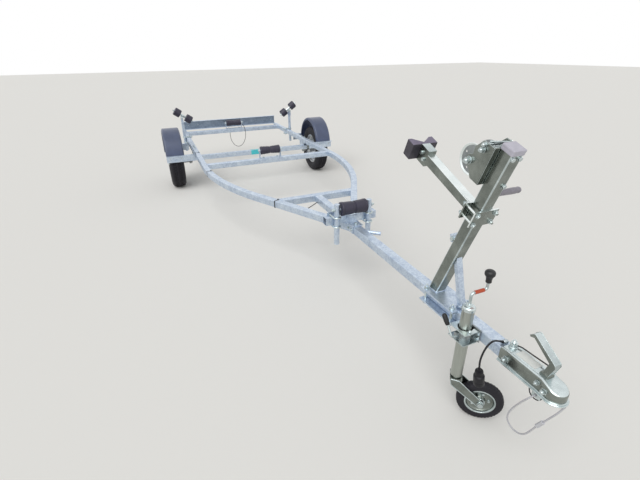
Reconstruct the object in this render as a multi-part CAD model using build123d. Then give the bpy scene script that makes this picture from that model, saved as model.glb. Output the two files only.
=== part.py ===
from build123d import *
from collections import namedtuple
from math import cos, pi, radians, sin, tan
import os

# Boat trailer in millimetres. X is across, +Z up, and the coupling points to -Y.
# Places along the trailer are given as s, the distance ahead of the wheel centres.
os.makedirs("parts", exist_ok=True)

# Frame of square tube, its rails bent in to the drawbar
TUBE = 50.0
WALL = 3.0
RAIL_TOP = 460.0
RAIL_HALF = 685.0
RAIL_REAR = -1060.0
BEND_START = 1000.0
BEND_RADIUS = 2250.0
BEND_ANGLE = 27.5
REAR_CROSS = -840.0
MID_CROSS = 983.0
FRONT_CROSS = 2225.0
DRAWBAR_END = 4085.0
PLATE = 6.0
SHEET = 5.0
HALF = TUBE / 2
RAIL_BOTTOM = RAIL_TOP - TUBE
FRAME_Z = (RAIL_BOTTOM, RAIL_TOP)

# Rear channel and lamps
CHANNEL_HALF = RAIL_HALF - 35.0
CHANNEL_H = 110.0
CHANNEL_D = 40.0
LAMP_W = 220.0
LAMP_D = 48.0
LAMP_CORNER = 12.0
LAMP_EDGE = 10.0
LAMP_MARGIN = 5.0

# Running gear
TYRE_R = 275.0
TYRE_W = 155.0
SIDEWALL = 110.0
TRACK_HALF = RAIL_HALF + 195.0
BEAM_S = 150.0
BEAM_GAP = 44.0
BEAM_OVER = 15.0
BRACKET_HALF = 70.0
BRACKET_W = 46.0
SPINDLE_R = 12.5
RUNNING = 0.05
BEAD_R = TYRE_R - SIDEWALL
BEAM_Z = RAIL_BOTTOM - BEAM_GAP - HALF

# Mudguards
GUARD_S = -5.0
GUARD_R = TYRE_R + 20.0
GUARD_Z = TYRE_R + 95.0
GUARD_X0 = TRACK_HALF - 92.0
GUARD_X1 = TRACK_HALF + 98.0
SKIRT = 30.0
SKIN = 4.0
FLAP = 25.0

# Winch post leaning forward, and the bow stop's arm
LEAN = 20.5
POST_S = DRAWBAR_END - 458.0
POST_LEN = 722.0
BASE_T = 8.0
BASE_Z = RAIL_TOP + BASE_T
ARM_T = 452.0
ARM_RISE = 23.0
ARM_LEN = 312.0
ARM_SIZE = 40.0

# Hand winch, in the post's frame: y to the rear, t up the post
DRUM_Y, DRUM_T = 103.0, 622.0
PINION_Y, PINION_T = 66.0, 687.0
CRANK_LEN = 185.0

# Jockey wheel
TUBE_R = 24.0
CLAMP_WALL = 6.0
JOCKEY_X = -(HALF + CLAMP_WALL + TUBE_R + 5.0)
JOCKEY_S = DRAWBAR_END - 205.0
JOCKEY_YAW = 50.0
JOCKEY_R = 95.0
JOCKEY_W = 40.0
TRAIL = 110.0

# Coupling
COUPLING_REAR = DRAWBAR_END - 55.0
BALL_S = DRAWBAR_END + 155.0
BALL_R = 25.2
NOSE_R = 52.0

# The origin lies below the middle of the overall length
AXLE_Y = (BALL_S + NOSE_R + RAIL_REAR - LAMP_D) / 2

SIDES = (("left", -1), ("right", 1))
LOW = (Align.MIN,) * 3
ON_END = (Align.CENTER, Align.CENTER, Align.MIN)


def point(x, s, z):
    return Vector(x, AXLE_Y - s, z)


def block(x, s, z):
    """Box from three (low, high) pairs."""
    low = point(x[0], s[1], z[0])
    return Pos(*low) * Box(x[1] - x[0], s[1] - s[0], z[1] - z[0], align=LOW)


def side_block(side, x, s, z):
    pair = (side * x[0], side * x[1])
    return block((min(pair), max(pair)), s, z)


def about(middle, half):
    """Pair that lies evenly about a middle."""
    return (middle - half, middle + half)


def rod(a, b, r):
    """Round bar between two points."""
    axis = b - a
    return Plane(origin=a, z_dir=axis) * Cylinder(r, axis.length, align=ON_END)


def prism(corners, x0, x1):
    """Outline of (s, z) corners drawn across from x0 to x1."""
    face = make_face(Polyline(*[point(x0, s, z) for s, z in corners], close=True))
    return extrude(face, amount=x1 - x0, dir=(1, 0, 0))


def square_tube(x, s, z, along):
    """Hollow square tube along one axis, open at both ends."""
    grow = {"x": (0, WALL, WALL), "s": (WALL, 0, WALL)}[along]
    inner = [(low + g, high - g) for (low, high), g in zip((x, s, z), grow)]
    return block(x, s, z) - block(*inner)


def capped_tube(foot, top, r):
    """Round tube, open at the foot and closed at the top."""
    inside_top = top + (foot - top).normalized() * WALL
    return rod(foot, top, r) - rod(foot, inside_top, r - WALL)


def lathe(profile, plane):
    """Closed (radius, height) outline turned about the plane's z axis."""
    face = make_face(Polyline(*[(r, 0, h) for r, h in profile], close=True))
    return plane * revolve(face, Axis.Z, 360)


parts = {}

# Side rails, straight and then bent in to the drawbar
bend = radians(BEND_ANGLE)
bend_x = RAIL_HALF - BEND_RADIUS
tip_run = (bend_x + BEND_RADIUS * cos(bend)) / sin(bend)


def rail_strip(side, inset):
    """Rail in plan, its walls moved in by inset."""
    outer_r, inner_r = BEND_RADIUS - inset, BEND_RADIUS - TUBE + inset

    def on_arc(r, angle):
        return point(side * (bend_x + r * cos(angle)), BEND_START + r * sin(angle), 0)

    def tip(r):
        x = bend_x + r * cos(bend) - tip_run * sin(bend)
        return point(side * x, BEND_START + r * sin(bend) + tip_run * cos(bend), 0)

    def tail(r):
        return point(side * (bend_x + r), RAIL_REAR, 0)

    edges = [
        Line(tail(outer_r), on_arc(outer_r, 0)),
        ThreePointArc(on_arc(outer_r, 0), on_arc(outer_r, bend / 2), on_arc(outer_r, bend)),
        Line(on_arc(outer_r, bend), tip(outer_r)),
        Line(tip(outer_r), tip(inner_r)),
        Line(tip(inner_r), on_arc(inner_r, bend)),
        ThreePointArc(on_arc(inner_r, bend), on_arc(inner_r, bend / 2), on_arc(inner_r, 0)),
        Line(on_arc(inner_r, 0), tail(inner_r)),
        Line(tail(inner_r), tail(outer_r)),
    ]
    return make_face(edges)


def rail_inner(s):
    """Half width between the rails where they run in to the drawbar."""
    arc_s = BEND_START + (BEND_RADIUS - TUBE) * sin(bend)
    arc_x = bend_x + (BEND_RADIUS - TUBE) * cos(bend)
    return arc_x - (s - arc_s) * tan(bend)


# The inner faces reach the drawbar here
NOSE_S = FRONT_CROSS + (rail_inner(FRONT_CROSS) - HALF) / tan(bend)
for name, side in SIDES:
    skin = extrude(Pos(0, 0, RAIL_BOTTOM) * rail_strip(side, 0), amount=TUBE, dir=(0, 0, 1))
    core_plan = Pos(0, 0, RAIL_BOTTOM + WALL) * rail_strip(side, WALL)
    core = extrude(core_plan, amount=TUBE - 2 * WALL, dir=(0, 0, 1))
    past = side_block(side, (-RAIL_HALF, HALF), (FRONT_CROSS, NOSE_S + RAIL_HALF), about(RAIL_TOP, TUBE + 1))
    parts[f"side_rail_{name}"] = skin - core - past

# Crossmembers between the rails
inside = RAIL_HALF - TUBE
for name, front in (("rear", REAR_CROSS), ("mid", MID_CROSS)):
    parts[f"{name}_crossmember"] = square_tube((-inside, inside), (front - TUBE, front), FRAME_Z, "x")
cross_s = (FRONT_CROSS - TUBE, FRONT_CROSS)
wide, narrow = [rail_inner(s) for s in cross_s]
outline = [(-wide, cross_s[0]), (wide, cross_s[0]), (narrow, cross_s[1]), (-narrow, cross_s[1])]
cross_face = make_face(Polyline(*[point(x, s, RAIL_BOTTOM) for x, s in outline], close=True))
cross_bore = block(
    (-wide, wide), (cross_s[0] + WALL, cross_s[1] - WALL), (RAIL_BOTTOM + WALL, RAIL_TOP - WALL)
)
parts["front_crossmember"] = extrude(cross_face, amount=TUBE, dir=(0, 0, 1)) - cross_bore

# Rear channel on the rails, open to the front, with two lamps on its back
CHANNEL_S = (RAIL_REAR, RAIL_REAR + CHANNEL_D)
CHANNEL_Z = (RAIL_TOP, RAIL_TOP + CHANNEL_H)
parts["rear_channel"] = block((-CHANNEL_HALF, CHANNEL_HALF), CHANNEL_S, CHANNEL_Z) - block(
    (-CHANNEL_HALF, CHANNEL_HALF),
    (CHANNEL_S[0] + WALL, CHANNEL_S[1]),
    (CHANNEL_Z[0] + WALL, CHANNEL_Z[1] - WALL),
)
lamps = []
for name, side in SIDES:
    lamp_x = (CHANNEL_HALF - LAMP_EDGE - LAMP_W, CHANNEL_HALF - LAMP_EDGE)
    lamp_z = (CHANNEL_Z[0] + LAMP_MARGIN, CHANNEL_Z[1] - LAMP_MARGIN)
    lamp = side_block(side, lamp_x, (RAIL_REAR - LAMP_D, RAIL_REAR), lamp_z)
    lamps += fillet(lamp.edges().filter_by(Axis.Y), LAMP_CORNER).solids()
parts["tail_lamps"] = lamps

# Torsion axle beam under two brackets, with the trailing swing arms at its ends
beam_half = RAIL_HALF + BEAM_OVER
BRACKET_X = (RAIL_HALF - BRACKET_W - 2.0, RAIL_HALF - 2.0)
beam = block((-beam_half, beam_half), about(BEAM_S, HALF), about(BEAM_Z, HALF))
for name, side in SIDES:
    bracket_s = about(BEAM_S, BRACKET_HALF)
    bracket = side_block(side, BRACKET_X, bracket_s, (BEAM_Z + HALF, RAIL_BOTTOM))
    open_x = (BRACKET_X[0] + PLATE, BRACKET_X[1] - PLATE)
    bracket -= side_block(side, open_x, bracket_s, (BEAM_Z + HALF + PLATE, RAIL_BOTTOM - PLATE))
    beam += bracket
parts["axle_beam"] = beam
SWING_W, SWING_BIG, SWING_SMALL = 28.0, 33.0, 27.0
SPINDLE_END = TRACK_HALF + 38.0
arms = []
for name, side in SIDES:
    far_eye = Pos(-BEAM_S, TYRE_R - BEAM_Z) * Circle(SWING_SMALL)
    blade = make_hull(Circle(SWING_BIG).edges() + far_eye.edges())
    plane = Plane(origin=point(side * beam_half, BEAM_S, BEAM_Z), x_dir=(0, -1, 0), z_dir=(-1, 0, 0))
    arm = extrude(plane * blade, amount=SWING_W, dir=(side, 0, 0))
    root = point(side * (beam_half + SWING_W), 0, TYRE_R)
    arm += rod(root, point(side * SPINDLE_END, 0, TYRE_R), SPINDLE_R)
    arms += arm.solids()
parts["swing_arms"] = arms

# Road wheels: steel rim with its hub on the stub axle, and a hollow tyre
hub_bore = SPINDLE_R + RUNNING
HUB_PROFILE = [
    (hub_bore, -88.0), (42.0, -88.0), (42.0, 13.0), (62.0, 13.0), (62.0, 25.0), (30.0, 25.0),
    (30.0, 52.0), (22.0, 58.0), (0.0, 58.0), (0.0, 40.0), (hub_bore, 40.0),
]
LIP_R = BEAD_R + 13.0
FLANGE = (TYRE_W - 45.0) / 2
BEAD_W = FLANGE - 3.0
RIM_PROFILE = [
    (30.0, 25.0), (70.0, 25.0), (BEAD_R - 70, 38.0), (BEAD_R - 25, 30.0), (BEAD_R - 15, 5.0),
    (BEAD_R - 15, -20.0), (BEAD_R - 4, -28.0), (BEAD_R - 4, -FLANGE), (LIP_R, -FLANGE), (LIP_R, -BEAD_W),
    (BEAD_R, -BEAD_W), (BEAD_R, -26.0), (BEAD_R - 11, -18.0), (BEAD_R - 11, 22.0), (BEAD_R, 30.0),
    (BEAD_R, BEAD_W), (LIP_R, BEAD_W), (LIP_R, FLANGE), (BEAD_R - 4, FLANGE), (BEAD_R - 4, 33.0),
    (BEAD_R - 20, 31.0), (BEAD_R - 69, 42.0), (68.0, 29.0), (30.0, 29.0),
]
tyre_half = TYRE_W / 2
TYRE_OUTER = [
    (BEAD_R, BEAD_W), (BEAD_R + 15, BEAD_W), (BEAD_R + 23, tyre_half - 9.5), (BEAD_R + 50, tyre_half),
    (TYRE_R - 30, tyre_half - 3.5), (TYRE_R - 9, tyre_half - 13.5), (TYRE_R, tyre_half - 29.5),
]
TYRE_INNER = [
    (TYRE_R - 12, tyre_half - 31.5), (TYRE_R - 19, tyre_half - 21.5), (TYRE_R - 35, tyre_half - 14.5),
    (BEAD_R + 50, tyre_half - 11.5), (BEAD_R + 23, tyre_half - 19.5), (BEAD_R, tyre_half - 39.5),
]
tyre_profile = (
    TYRE_OUTER
    + [(r, -w) for r, w in reversed(TYRE_OUTER)]
    + [(r, -w) for r, w in reversed(TYRE_INNER)]
    + TYRE_INNER
)
VENT_COUNT, VENT_CIRCLE, VENT_R = 12, BEAD_R - 43.0, 10.0
for name, side in SIDES:
    wheel = Plane(origin=point(side * TRACK_HALF, 0, TYRE_R), x_dir=(0, 1, 0), z_dir=(side, 0, 0))
    rim = lathe(HUB_PROFILE, wheel) + lathe(RIM_PROFILE, wheel)
    for turned in PolarLocations(VENT_CIRCLE, VENT_COUNT):
        rim -= wheel * turned * Cylinder(VENT_R, 2 * FLANGE)
    parts[f"rim_{name}"] = rim
    parts[f"tyre_{name}"] = lathe(tyre_profile, wheel)

# Mudguards: arched channel section with short straight ends, on a bar frame
GUARD_W = GUARD_X1 - GUARD_X0
FRAME_BAR, FRAME_RISE = 40.0, 4.0
bar_z = (RAIL_BOTTOM + FRAME_RISE, RAIL_BOTTOM + FRAME_RISE + PLATE)


def arch(side, r, x0, x1):
    """Solid arch of radius r between two insets, straight below its centre."""
    rounded = rod(
        point(side * (GUARD_X0 + x0), GUARD_S, GUARD_Z), point(side * (GUARD_X0 + x1), GUARD_S, GUARD_Z), r
    )
    low_z = (GUARD_Z - r - 1, GUARD_Z)
    low = side_block(side, (GUARD_X0 - 1, GUARD_X1 + 1), about(GUARD_S, GUARD_R + 1), low_z)
    flap = side_block(side, (GUARD_X0 + x0, GUARD_X0 + x1), about(GUARD_S, r), (GUARD_Z - FLAP, GUARD_Z))
    return rounded - low + flap


bars = []
for name, side in SIDES:
    guard = arch(side, GUARD_R, 0, GUARD_W)
    guard -= arch(side, GUARD_R - SKIN, SKIN, GUARD_W - SKIN) + arch(side, GUARD_R - SKIRT, 0, GUARD_W)
    parts[f"mudguard_{name}"] = guard
    strap_s = about(GUARD_S, GUARD_R + FRAME_BAR + 5.0)
    bar = side_block(side, (RAIL_HALF, RAIL_HALF + PLATE), strap_s, (bar_z[0], bar_z[0] + 32.0))
    for way in (-1, 1):
        face = GUARD_S + way * GUARD_R
        upright = sorted((face, face + way * PLATE))
        shelf = sorted((face, face + way * FRAME_BAR))
        bar += side_block(side, (RAIL_HALF, GUARD_X1), upright, (GUARD_Z - FLAP, bar_z[1]))
        bar += side_block(side, (RAIL_HALF, GUARD_X1), shelf, bar_z)
    bars += bar.solids()
parts["mudguard_frames"] = bars

# Keel rollers in U brackets on the rear and middle crossmembers
KEEL_Z = RAIL_TOP + 78.0
KEEL_R, KEEL_HALF, PIN_R = 41.0, 99.0, 8.0
EAR_GAP, EAR_R, PIN_OUT, GROOVE = 6.0, 22.0, 8.0, 8.0
EAR_X = (KEEL_HALF + EAR_GAP, KEEL_HALF + EAR_GAP + SHEET)
KeelRow = namedtuple("KeelRow", "name s")
KEEL_ROWS = [KeelRow("rear", REAR_CROSS - HALF), KeelRow("mid", MID_CROSS - HALF)]


def roller(half, r, waist):
    """Rubber roller outline with a groove round its middle."""
    bore = PIN_R + RUNNING
    chamfer_r, chamfer_h = r - 6, half - 6
    return [
        (bore, -half), (chamfer_r, -half), (r, -chamfer_h), (waist, -GROOVE), (waist - 4, 0.0),
        (waist, GROOVE), (r, chamfer_h), (chamfer_r, half), (bore, half),
    ]


brackets = []
for row in KEEL_ROWS:
    across = Plane(origin=point(0, row.s, KEEL_Z), x_dir=(0, 1, 0), z_dir=(1, 0, 0))
    bracket = block((-EAR_X[1], EAR_X[1]), about(row.s, HALF), (RAIL_TOP, RAIL_TOP + SHEET))
    for name, side in SIDES:
        bracket += side_block(side, EAR_X, about(row.s, EAR_R), (RAIL_TOP, KEEL_Z))
        bracket += rod(point(side * EAR_X[0], row.s, KEEL_Z), point(side * EAR_X[1], row.s, KEEL_Z), EAR_R)
    pin_end = EAR_X[1] + PIN_OUT
    bracket += rod(point(-pin_end, row.s, KEEL_Z), point(pin_end, row.s, KEEL_Z), PIN_R)
    brackets += bracket.solids()
    parts[f"{row.name}_keel_roller"] = lathe(roller(KEEL_HALF, KEEL_R, KEEL_R - 2), across)
parts["keel_roller_brackets"] = brackets

# Side posts outside the rails, each with a tilting head and two rollers
SIDE_S, SIDE_R = -488.0, 17.0
SIDE_TOP, SIDE_FOOT = RAIL_TOP + 180.0, RAIL_BOTTOM - 115.0
SIDE_X = RAIL_HALF + SIDE_R
HEAD_Z, HEAD_TILT = SIDE_TOP + 60.0, 35.0
ROLLER_R, ROLLER_HALF, ROLLER_OFFSET, ROLLER_LIFT = 50.0, 38.0, 74.0, 30.0
YOKE_HALF, YOKE_GAP, BOSS_HALF, BOSS_R = 12.0, 25.0, 20.0, 15.0
STALK_R, SLEEVE_R, SLEEVE_HALF = 12.0, 14.0, 22.0
side_posts = []
tilt = radians(HEAD_TILT)
for name, side in SIDES:
    x = side * SIDE_X
    post = capped_tube(point(x, SIDE_S, SIDE_FOOT), point(x, SIDE_S, SIDE_TOP), SIDE_R)
    yoke_x = about(SIDE_X, YOKE_HALF)
    post += side_block(side, yoke_x, about(SIDE_S, YOKE_GAP + PLATE), (SIDE_TOP, SIDE_TOP + PLATE))
    for low, high in ((-YOKE_GAP - PLATE, -YOKE_GAP), (YOKE_GAP, YOKE_GAP + PLATE)):
        post += side_block(side, yoke_x, (SIDE_S + low, SIDE_S + high), (SIDE_TOP, HEAD_Z + 14))
    centre = point(x, SIDE_S, HEAD_Z)
    lengthwise = Vector(0, 1, 0)
    post += rod(centre - lengthwise * (YOKE_GAP + 11), centre + lengthwise * (YOKE_GAP + 11), PIN_R)
    side_posts += post.solids()
    out = Vector(side * cos(tilt), 0, sin(tilt))
    middle = centre + Vector(-side * sin(tilt), 0, cos(tilt)) * ROLLER_LIFT
    reach = ROLLER_OFFSET + ROLLER_HALF + 12
    head = rod(centre - lengthwise * BOSS_HALF, centre + lengthwise * BOSS_HALF, BOSS_R)
    head += rod(centre, middle, STALK_R)
    head += rod(middle - out * reach, middle + out * reach, PIN_R)
    head += rod(middle - out * SLEEVE_HALF, middle + out * SLEEVE_HALF, SLEEVE_R)
    head -= rod(centre - lengthwise * YOKE_GAP, centre + lengthwise * YOKE_GAP, PIN_R + RUNNING)
    parts[f"side_head_{name}"] = head
    for which, way in (("inner", -1), ("outer", 1)):
        plane = Plane(origin=middle + out * (way * ROLLER_OFFSET), x_dir=(0, 1, 0), z_dir=out)
        parts[f"side_roller_{name}_{which}"] = lathe(roller(ROLLER_HALF, ROLLER_R, ROLLER_R), plane)
parts["side_posts"] = side_posts

# Bow roller on two posts in front of a cross tube on the frame's nose
BOW_HALF, BOW_POST_X, BOW_POST_R = 175.0, 110.0, 17.0
BOW_R, BOW_ROLLER_HALF = 44.0, 87.0
BOW_Z, BOW_TOP, BOW_FOOT = RAIL_TOP + 105.0, RAIL_TOP + 140.0, RAIL_BOTTOM - 75.0
SADDLE_HALF, SADDLE_LEN, SADDLE_H, BOW_BACK = 38.0, 82.0, 44.0, 20.0
bow_rear = NOSE_S + BOW_BACK
bow_front = bow_rear + TUBE
BOW_S = bow_front + BOW_POST_R
cross_tube = square_tube((-BOW_HALF, BOW_HALF), (bow_rear, bow_front), (RAIL_TOP, RAIL_TOP + TUBE), "x")
saddle_x = (-SADDLE_HALF, SADDLE_HALF)
cross_tube += block(saddle_x, (bow_front, bow_front + SADDLE_LEN), (RAIL_TOP, RAIL_TOP + PLATE))
cross_tube += block(saddle_x, (bow_front, bow_front + PLATE), (RAIL_TOP, RAIL_TOP + SADDLE_H))
parts["bow_cross_tube"] = cross_tube
bolt_end = BOW_POST_X + BOW_POST_R + 9.0
bow = rod(point(-bolt_end, BOW_S, BOW_Z), point(bolt_end, BOW_S, BOW_Z), PIN_R)
for name, side in SIDES:
    x = side * BOW_POST_X
    bow += capped_tube(point(x, BOW_S, BOW_FOOT), point(x, BOW_S, BOW_TOP), BOW_POST_R)
parts["bow_roller_posts"] = bow
bow_plane = Plane(origin=point(0, BOW_S, BOW_Z), x_dir=(0, 1, 0), z_dir=(1, 0, 0))
parts["bow_roller"] = lathe(roller(BOW_ROLLER_HALF, BOW_R, BOW_R - 3), bow_plane)

# Drawbar with a rope cleat welded to its right side
CLEAT_R, CLEAT_OUT, CLEAT_RAKE = 12.0, 80.0, 70.0
cleat_s, cleat_z = bow_front + SADDLE_LEN + 33.0, RAIL_BOTTOM + 26.0
cleat = rod(point(0, cleat_s - CLEAT_RAKE * HALF / CLEAT_OUT, cleat_z),
            point(HALF + CLEAT_OUT, cleat_s + CLEAT_RAKE, cleat_z), CLEAT_R)
drawbar_s = (FRONT_CROSS, DRAWBAR_END)
cleat -= block((-HALF, HALF), drawbar_s, FRAME_Z)
parts["drawbar"] = square_tube((-HALF, HALF), drawbar_s, FRAME_Z, "s") + cleat

# Winch post with its base clamped round the drawbar
lean = radians(LEAN)
post_plane = Plane(origin=point(0, POST_S, BASE_Z), x_dir=(1, 0, 0), z_dir=(0, -sin(lean), cos(lean)))
BASE_S = (POST_S - 42.0, POST_S + 175.0)
BASE_HALF = HALF + 33.0
BOLT_X, BOLT_IN, BOLT_R = HALF + 17.0, 23.0, 6.0
FOOT_CUT = 60.0
below_base = block(about(0, BASE_HALF), about(POST_S, POST_LEN), (0.0, BASE_Z))


def on_post(x, y, t):
    """Box in the post's own frame: x across, y to the rear, t up the post."""
    return post_plane * Pos(x[0], y[0], t[0]) * Box(x[1] - x[0], y[1] - y[0], t[1] - t[0], align=LOW)


def post_point(x, y, t):
    return post_plane.from_local_coords(Vector(x, y, t))


post = on_post((-HALF, HALF), (-HALF, HALF), (-FOOT_CUT, POST_LEN))
post -= on_post((-HALF + WALL, HALF - WALL), (-HALF + WALL, HALF - WALL), (-FOOT_CUT - 1, POST_LEN + 1))
post = post - below_base + block(about(0, BASE_HALF), BASE_S, (RAIL_TOP, BASE_Z))
lower = block(about(0, BASE_HALF), BASE_S, (RAIL_BOTTOM - BASE_T, RAIL_BOTTOM))
BaseBolt = namedtuple("BaseBolt", "x s")
BASE_BOLTS = [BaseBolt(x, s) for x in (-BOLT_X, BOLT_X) for s in (BASE_S[0] + BOLT_IN, BASE_S[1] - BOLT_IN)]
for bolt in BASE_BOLTS:
    shank = rod(point(bolt.x, bolt.s, RAIL_BOTTOM - BASE_T - 14), point(bolt.x, bolt.s, BASE_Z + 20), BOLT_R)
    lower += shank
    post -= shank
parts["post_base_clamp"] = lower
parts["winch_post"] = post
CAP_HALF, CAP_T = HALF + 3.0, 14.0
parts["post_cap"] = on_post((-CAP_HALF, CAP_HALF), (-CAP_HALF, CAP_HALF), (POST_LEN, POST_LEN + CAP_T))

# Round brace from the post down to the front end of its base
BRACE_R, BRACE_Z = 14.0, BASE_Z + 302.0
brace_low = (BASE_S[1] - 6.0, BASE_Z - 28.0)
brace_high = (POST_S + 63.0, BRACE_Z)
brace = rod(point(0, *brace_high), point(0, *brace_low), BRACE_R) - below_base
parts["post_brace"] = brace - on_post(about(0, BASE_HALF), (-HALF, BASE_HALF), (-FOOT_CUT, POST_LEN))

# Bow stop: arm welded to a plate on the post's rear face, V block at its end
STRAP_HALF, STRAP_H = HALF + 30.0, 35.0
STRAP_BOLT_X, STRAP_BOLT_T, STRAP_BOLT_R = HALF + 16.0, 22.0, 5.0
strap_t = about(ARM_T, STRAP_H)
rise = radians(ARM_RISE)
arm_plane = Plane(origin=post_point(0, HALF, ARM_T), x_dir=(1, 0, 0), z_dir=(0, cos(rise), sin(rise)))


def on_arm(x, y, a):
    """Box in the arm's own frame: x across, y down and rearward, a along the arm."""
    return arm_plane * Pos(x[0], y[0], a[0]) * Box(x[1] - x[0], y[1] - y[0], a[1] - a[0], align=LOW)


a_half = ARM_SIZE / 2
STOP_H, STOP_HALF, STOP_T, STOP_GAP, NOTCH, LAND = 37.0, 62.0, 48.0, 56.0, 32.0, 18.0
arm = on_arm((-a_half, a_half), (-a_half, a_half), (-ARM_SIZE, ARM_LEN))
hollow = a_half - WALL
arm -= on_arm((-hollow, hollow), (-hollow, hollow), (-ARM_SIZE - 1, ARM_LEN - WALL))
arm -= on_post(about(0, ARM_SIZE), (-2 * ARM_SIZE, HALF + PLATE), (0.0, POST_LEN))
arm += on_post((-STRAP_HALF, STRAP_HALF), (HALF, HALF + PLATE), strap_t)
arm += on_arm((-a_half, a_half), (-STOP_H, STOP_H), (ARM_LEN, ARM_LEN + PLATE))
bracket = on_arm((-a_half, a_half), (-STOP_H, STOP_H), (ARM_LEN + PLATE, ARM_LEN + STOP_GAP))
bracket -= on_arm(
    (-a_half + PLATE, a_half - PLATE), about(0, STOP_H + 1), (ARM_LEN + 2 * PLATE, ARM_LEN + STOP_GAP - PLATE)
)
arm += bracket
stop_a = ARM_LEN + STOP_GAP
stop_far = stop_a + STOP_T
stop_outline = [
    (-STOP_HALF, stop_a), (STOP_HALF, stop_a), (STOP_HALF, stop_far), (STOP_HALF - LAND, stop_far),
    (0.0, stop_far - NOTCH), (-STOP_HALF + LAND, stop_far), (-STOP_HALF, stop_far),
]
stop_face = make_face(Polyline(*[(x, -STOP_H, a) for x, a in stop_outline], close=True))
parts["bow_stop"] = arm_plane * extrude(stop_face, amount=2 * STOP_H, dir=(0, 1, 0))
front_strap = on_post((-STRAP_HALF, STRAP_HALF), (-HALF - PLATE, -HALF), strap_t)
for x in (-STRAP_BOLT_X, STRAP_BOLT_X):
    for t in (ARM_T - STRAP_BOLT_T, ARM_T + STRAP_BOLT_T):
        bolt = rod(post_point(x, -HALF - PLATE - 14, t), post_point(x, HALF + PLATE + 12, t), STRAP_BOLT_R)
        front_strap += bolt
        arm -= bolt
parts["strap_plate"] = front_strap
parts["bow_stop_arm"] = arm

# Hand winch on the post's rear face: frame, drum with gear disc, crank with pinion
CHEEK_IN, CHEEK_T = 46.0, 4.0
CHEEK_OUT = CHEEK_IN + CHEEK_T
WINCH_T = (DRUM_T - 52.0, DRUM_T + 93.0)
CHEEK_OUTLINE = [
    (HALF, WINCH_T[0]), (HALF, WINCH_T[1]), (PINION_Y + 12, WINCH_T[1]), (DRUM_Y + 23, DRUM_T + 20),
    (DRUM_Y + 23, DRUM_T - 20), (DRUM_Y - 7, DRUM_T - 32),
]


def winch_plate(x0, x1):
    face = make_face(Polyline(*[(x0, y, t) for y, t in CHEEK_OUTLINE], close=True))
    return post_plane * extrude(face, amount=x1 - x0, dir=(1, 0, 0))


def winch_rod(x0, x1, y, t, r):
    return rod(post_point(x0, y, t), post_point(x1, y, t), r)


winch = on_post((-CHEEK_OUT, CHEEK_OUT), (HALF, HALF + CHEEK_T), WINCH_T)
winch += winch_plate(-CHEEK_OUT, -CHEEK_IN) + winch_plate(CHEEK_IN, CHEEK_OUT)
winch += winch_rod(-CHEEK_OUT - 8, CHEEK_OUT + 8, DRUM_Y, DRUM_T, PIN_R)
winch -= winch_rod(-CHEEK_OUT - 1, CHEEK_OUT + 1, PINION_Y, PINION_T, PIN_R + RUNNING)
parts["winch_frame"] = winch
bore, disc_end = PIN_R + RUNNING, CHEEK_IN - 5.0
FLANGE_R, BARREL_R, GEAR_R, GEAR_T, PINION_R = 59.0, 24.0, 62.0, 8.0, 12.0
DRUM_PROFILE = [
    (bore, -disc_end), (FLANGE_R, -disc_end), (FLANGE_R, 3 - disc_end), (BARREL_R, 3 - disc_end),
    (BARREL_R, 27.0), (FLANGE_R - 3, 27.0), (FLANGE_R - 3, 30.0), (34.0, 30.0), (34.0, disc_end - GEAR_T),
    (GEAR_R, disc_end - GEAR_T), (GEAR_R, disc_end), (bore, disc_end),
]
drum_plane = Plane(origin=post_point(0, DRUM_Y, DRUM_T), x_dir=(0, 1, 0), z_dir=(1, 0, 0))
parts["winch_drum"] = lathe(DRUM_PROFILE, drum_plane)
CRANK_X, CRANK_T, CRANK_W, GRIP_LEN, GRIP_R = CHEEK_OUT + 20.0, 8.0, 25.0, 118.0, 13.0
CRANK_RAKE = 9.3
crank_centre = post_point(0, PINION_Y, PINION_T)
across_x = Vector(1, 0, 0)
down_arm = Vector(0, sin(radians(CRANK_RAKE)), -cos(radians(CRANK_RAKE)))
crank_tip = crank_centre + down_arm * CRANK_LEN
crank_out = CRANK_X + CRANK_T
crank = rod(crank_centre - across_x * (CHEEK_OUT + 8), crank_centre + across_x * crank_out, PIN_R)
crank += rod(crank_centre + across_x * (disc_end - GEAR_T), crank_centre + across_x * disc_end, PINION_R)
crank_plane = Plane(origin=crank_centre + across_x * CRANK_X, x_dir=down_arm, z_dir=(1, 0, 0))
crank += crank_plane * Pos(-14, -CRANK_W / 2, 0) * Box(CRANK_LEN + 28, CRANK_W, CRANK_T, align=LOW)
parts["winch_crank"] = crank
grip_end = crank_out + GRIP_LEN
parts["winch_grip"] = rod(crank_tip + across_x * crank_out, crank_tip + across_x * grip_end, GRIP_R)

# Jockey wheel's clamp on the drawbar, with its handle
RING_R = TUBE_R + CLAMP_WALL
RING_Z = (RAIL_BOTTOM - 10.0, RAIL_TOP - 5.0)
CLAMP_HALF, LUG_HALF, LUG_OUT = 50.0, 8.0, 22.0
LUG_Z = (RAIL_BOTTOM + 5.0, RAIL_BOTTOM + 32.0)


def on_jockey(x, s, z):
    """Point given from the jockey tube's axis."""
    return point(JOCKEY_X + x, JOCKEY_S + s, z)


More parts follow.
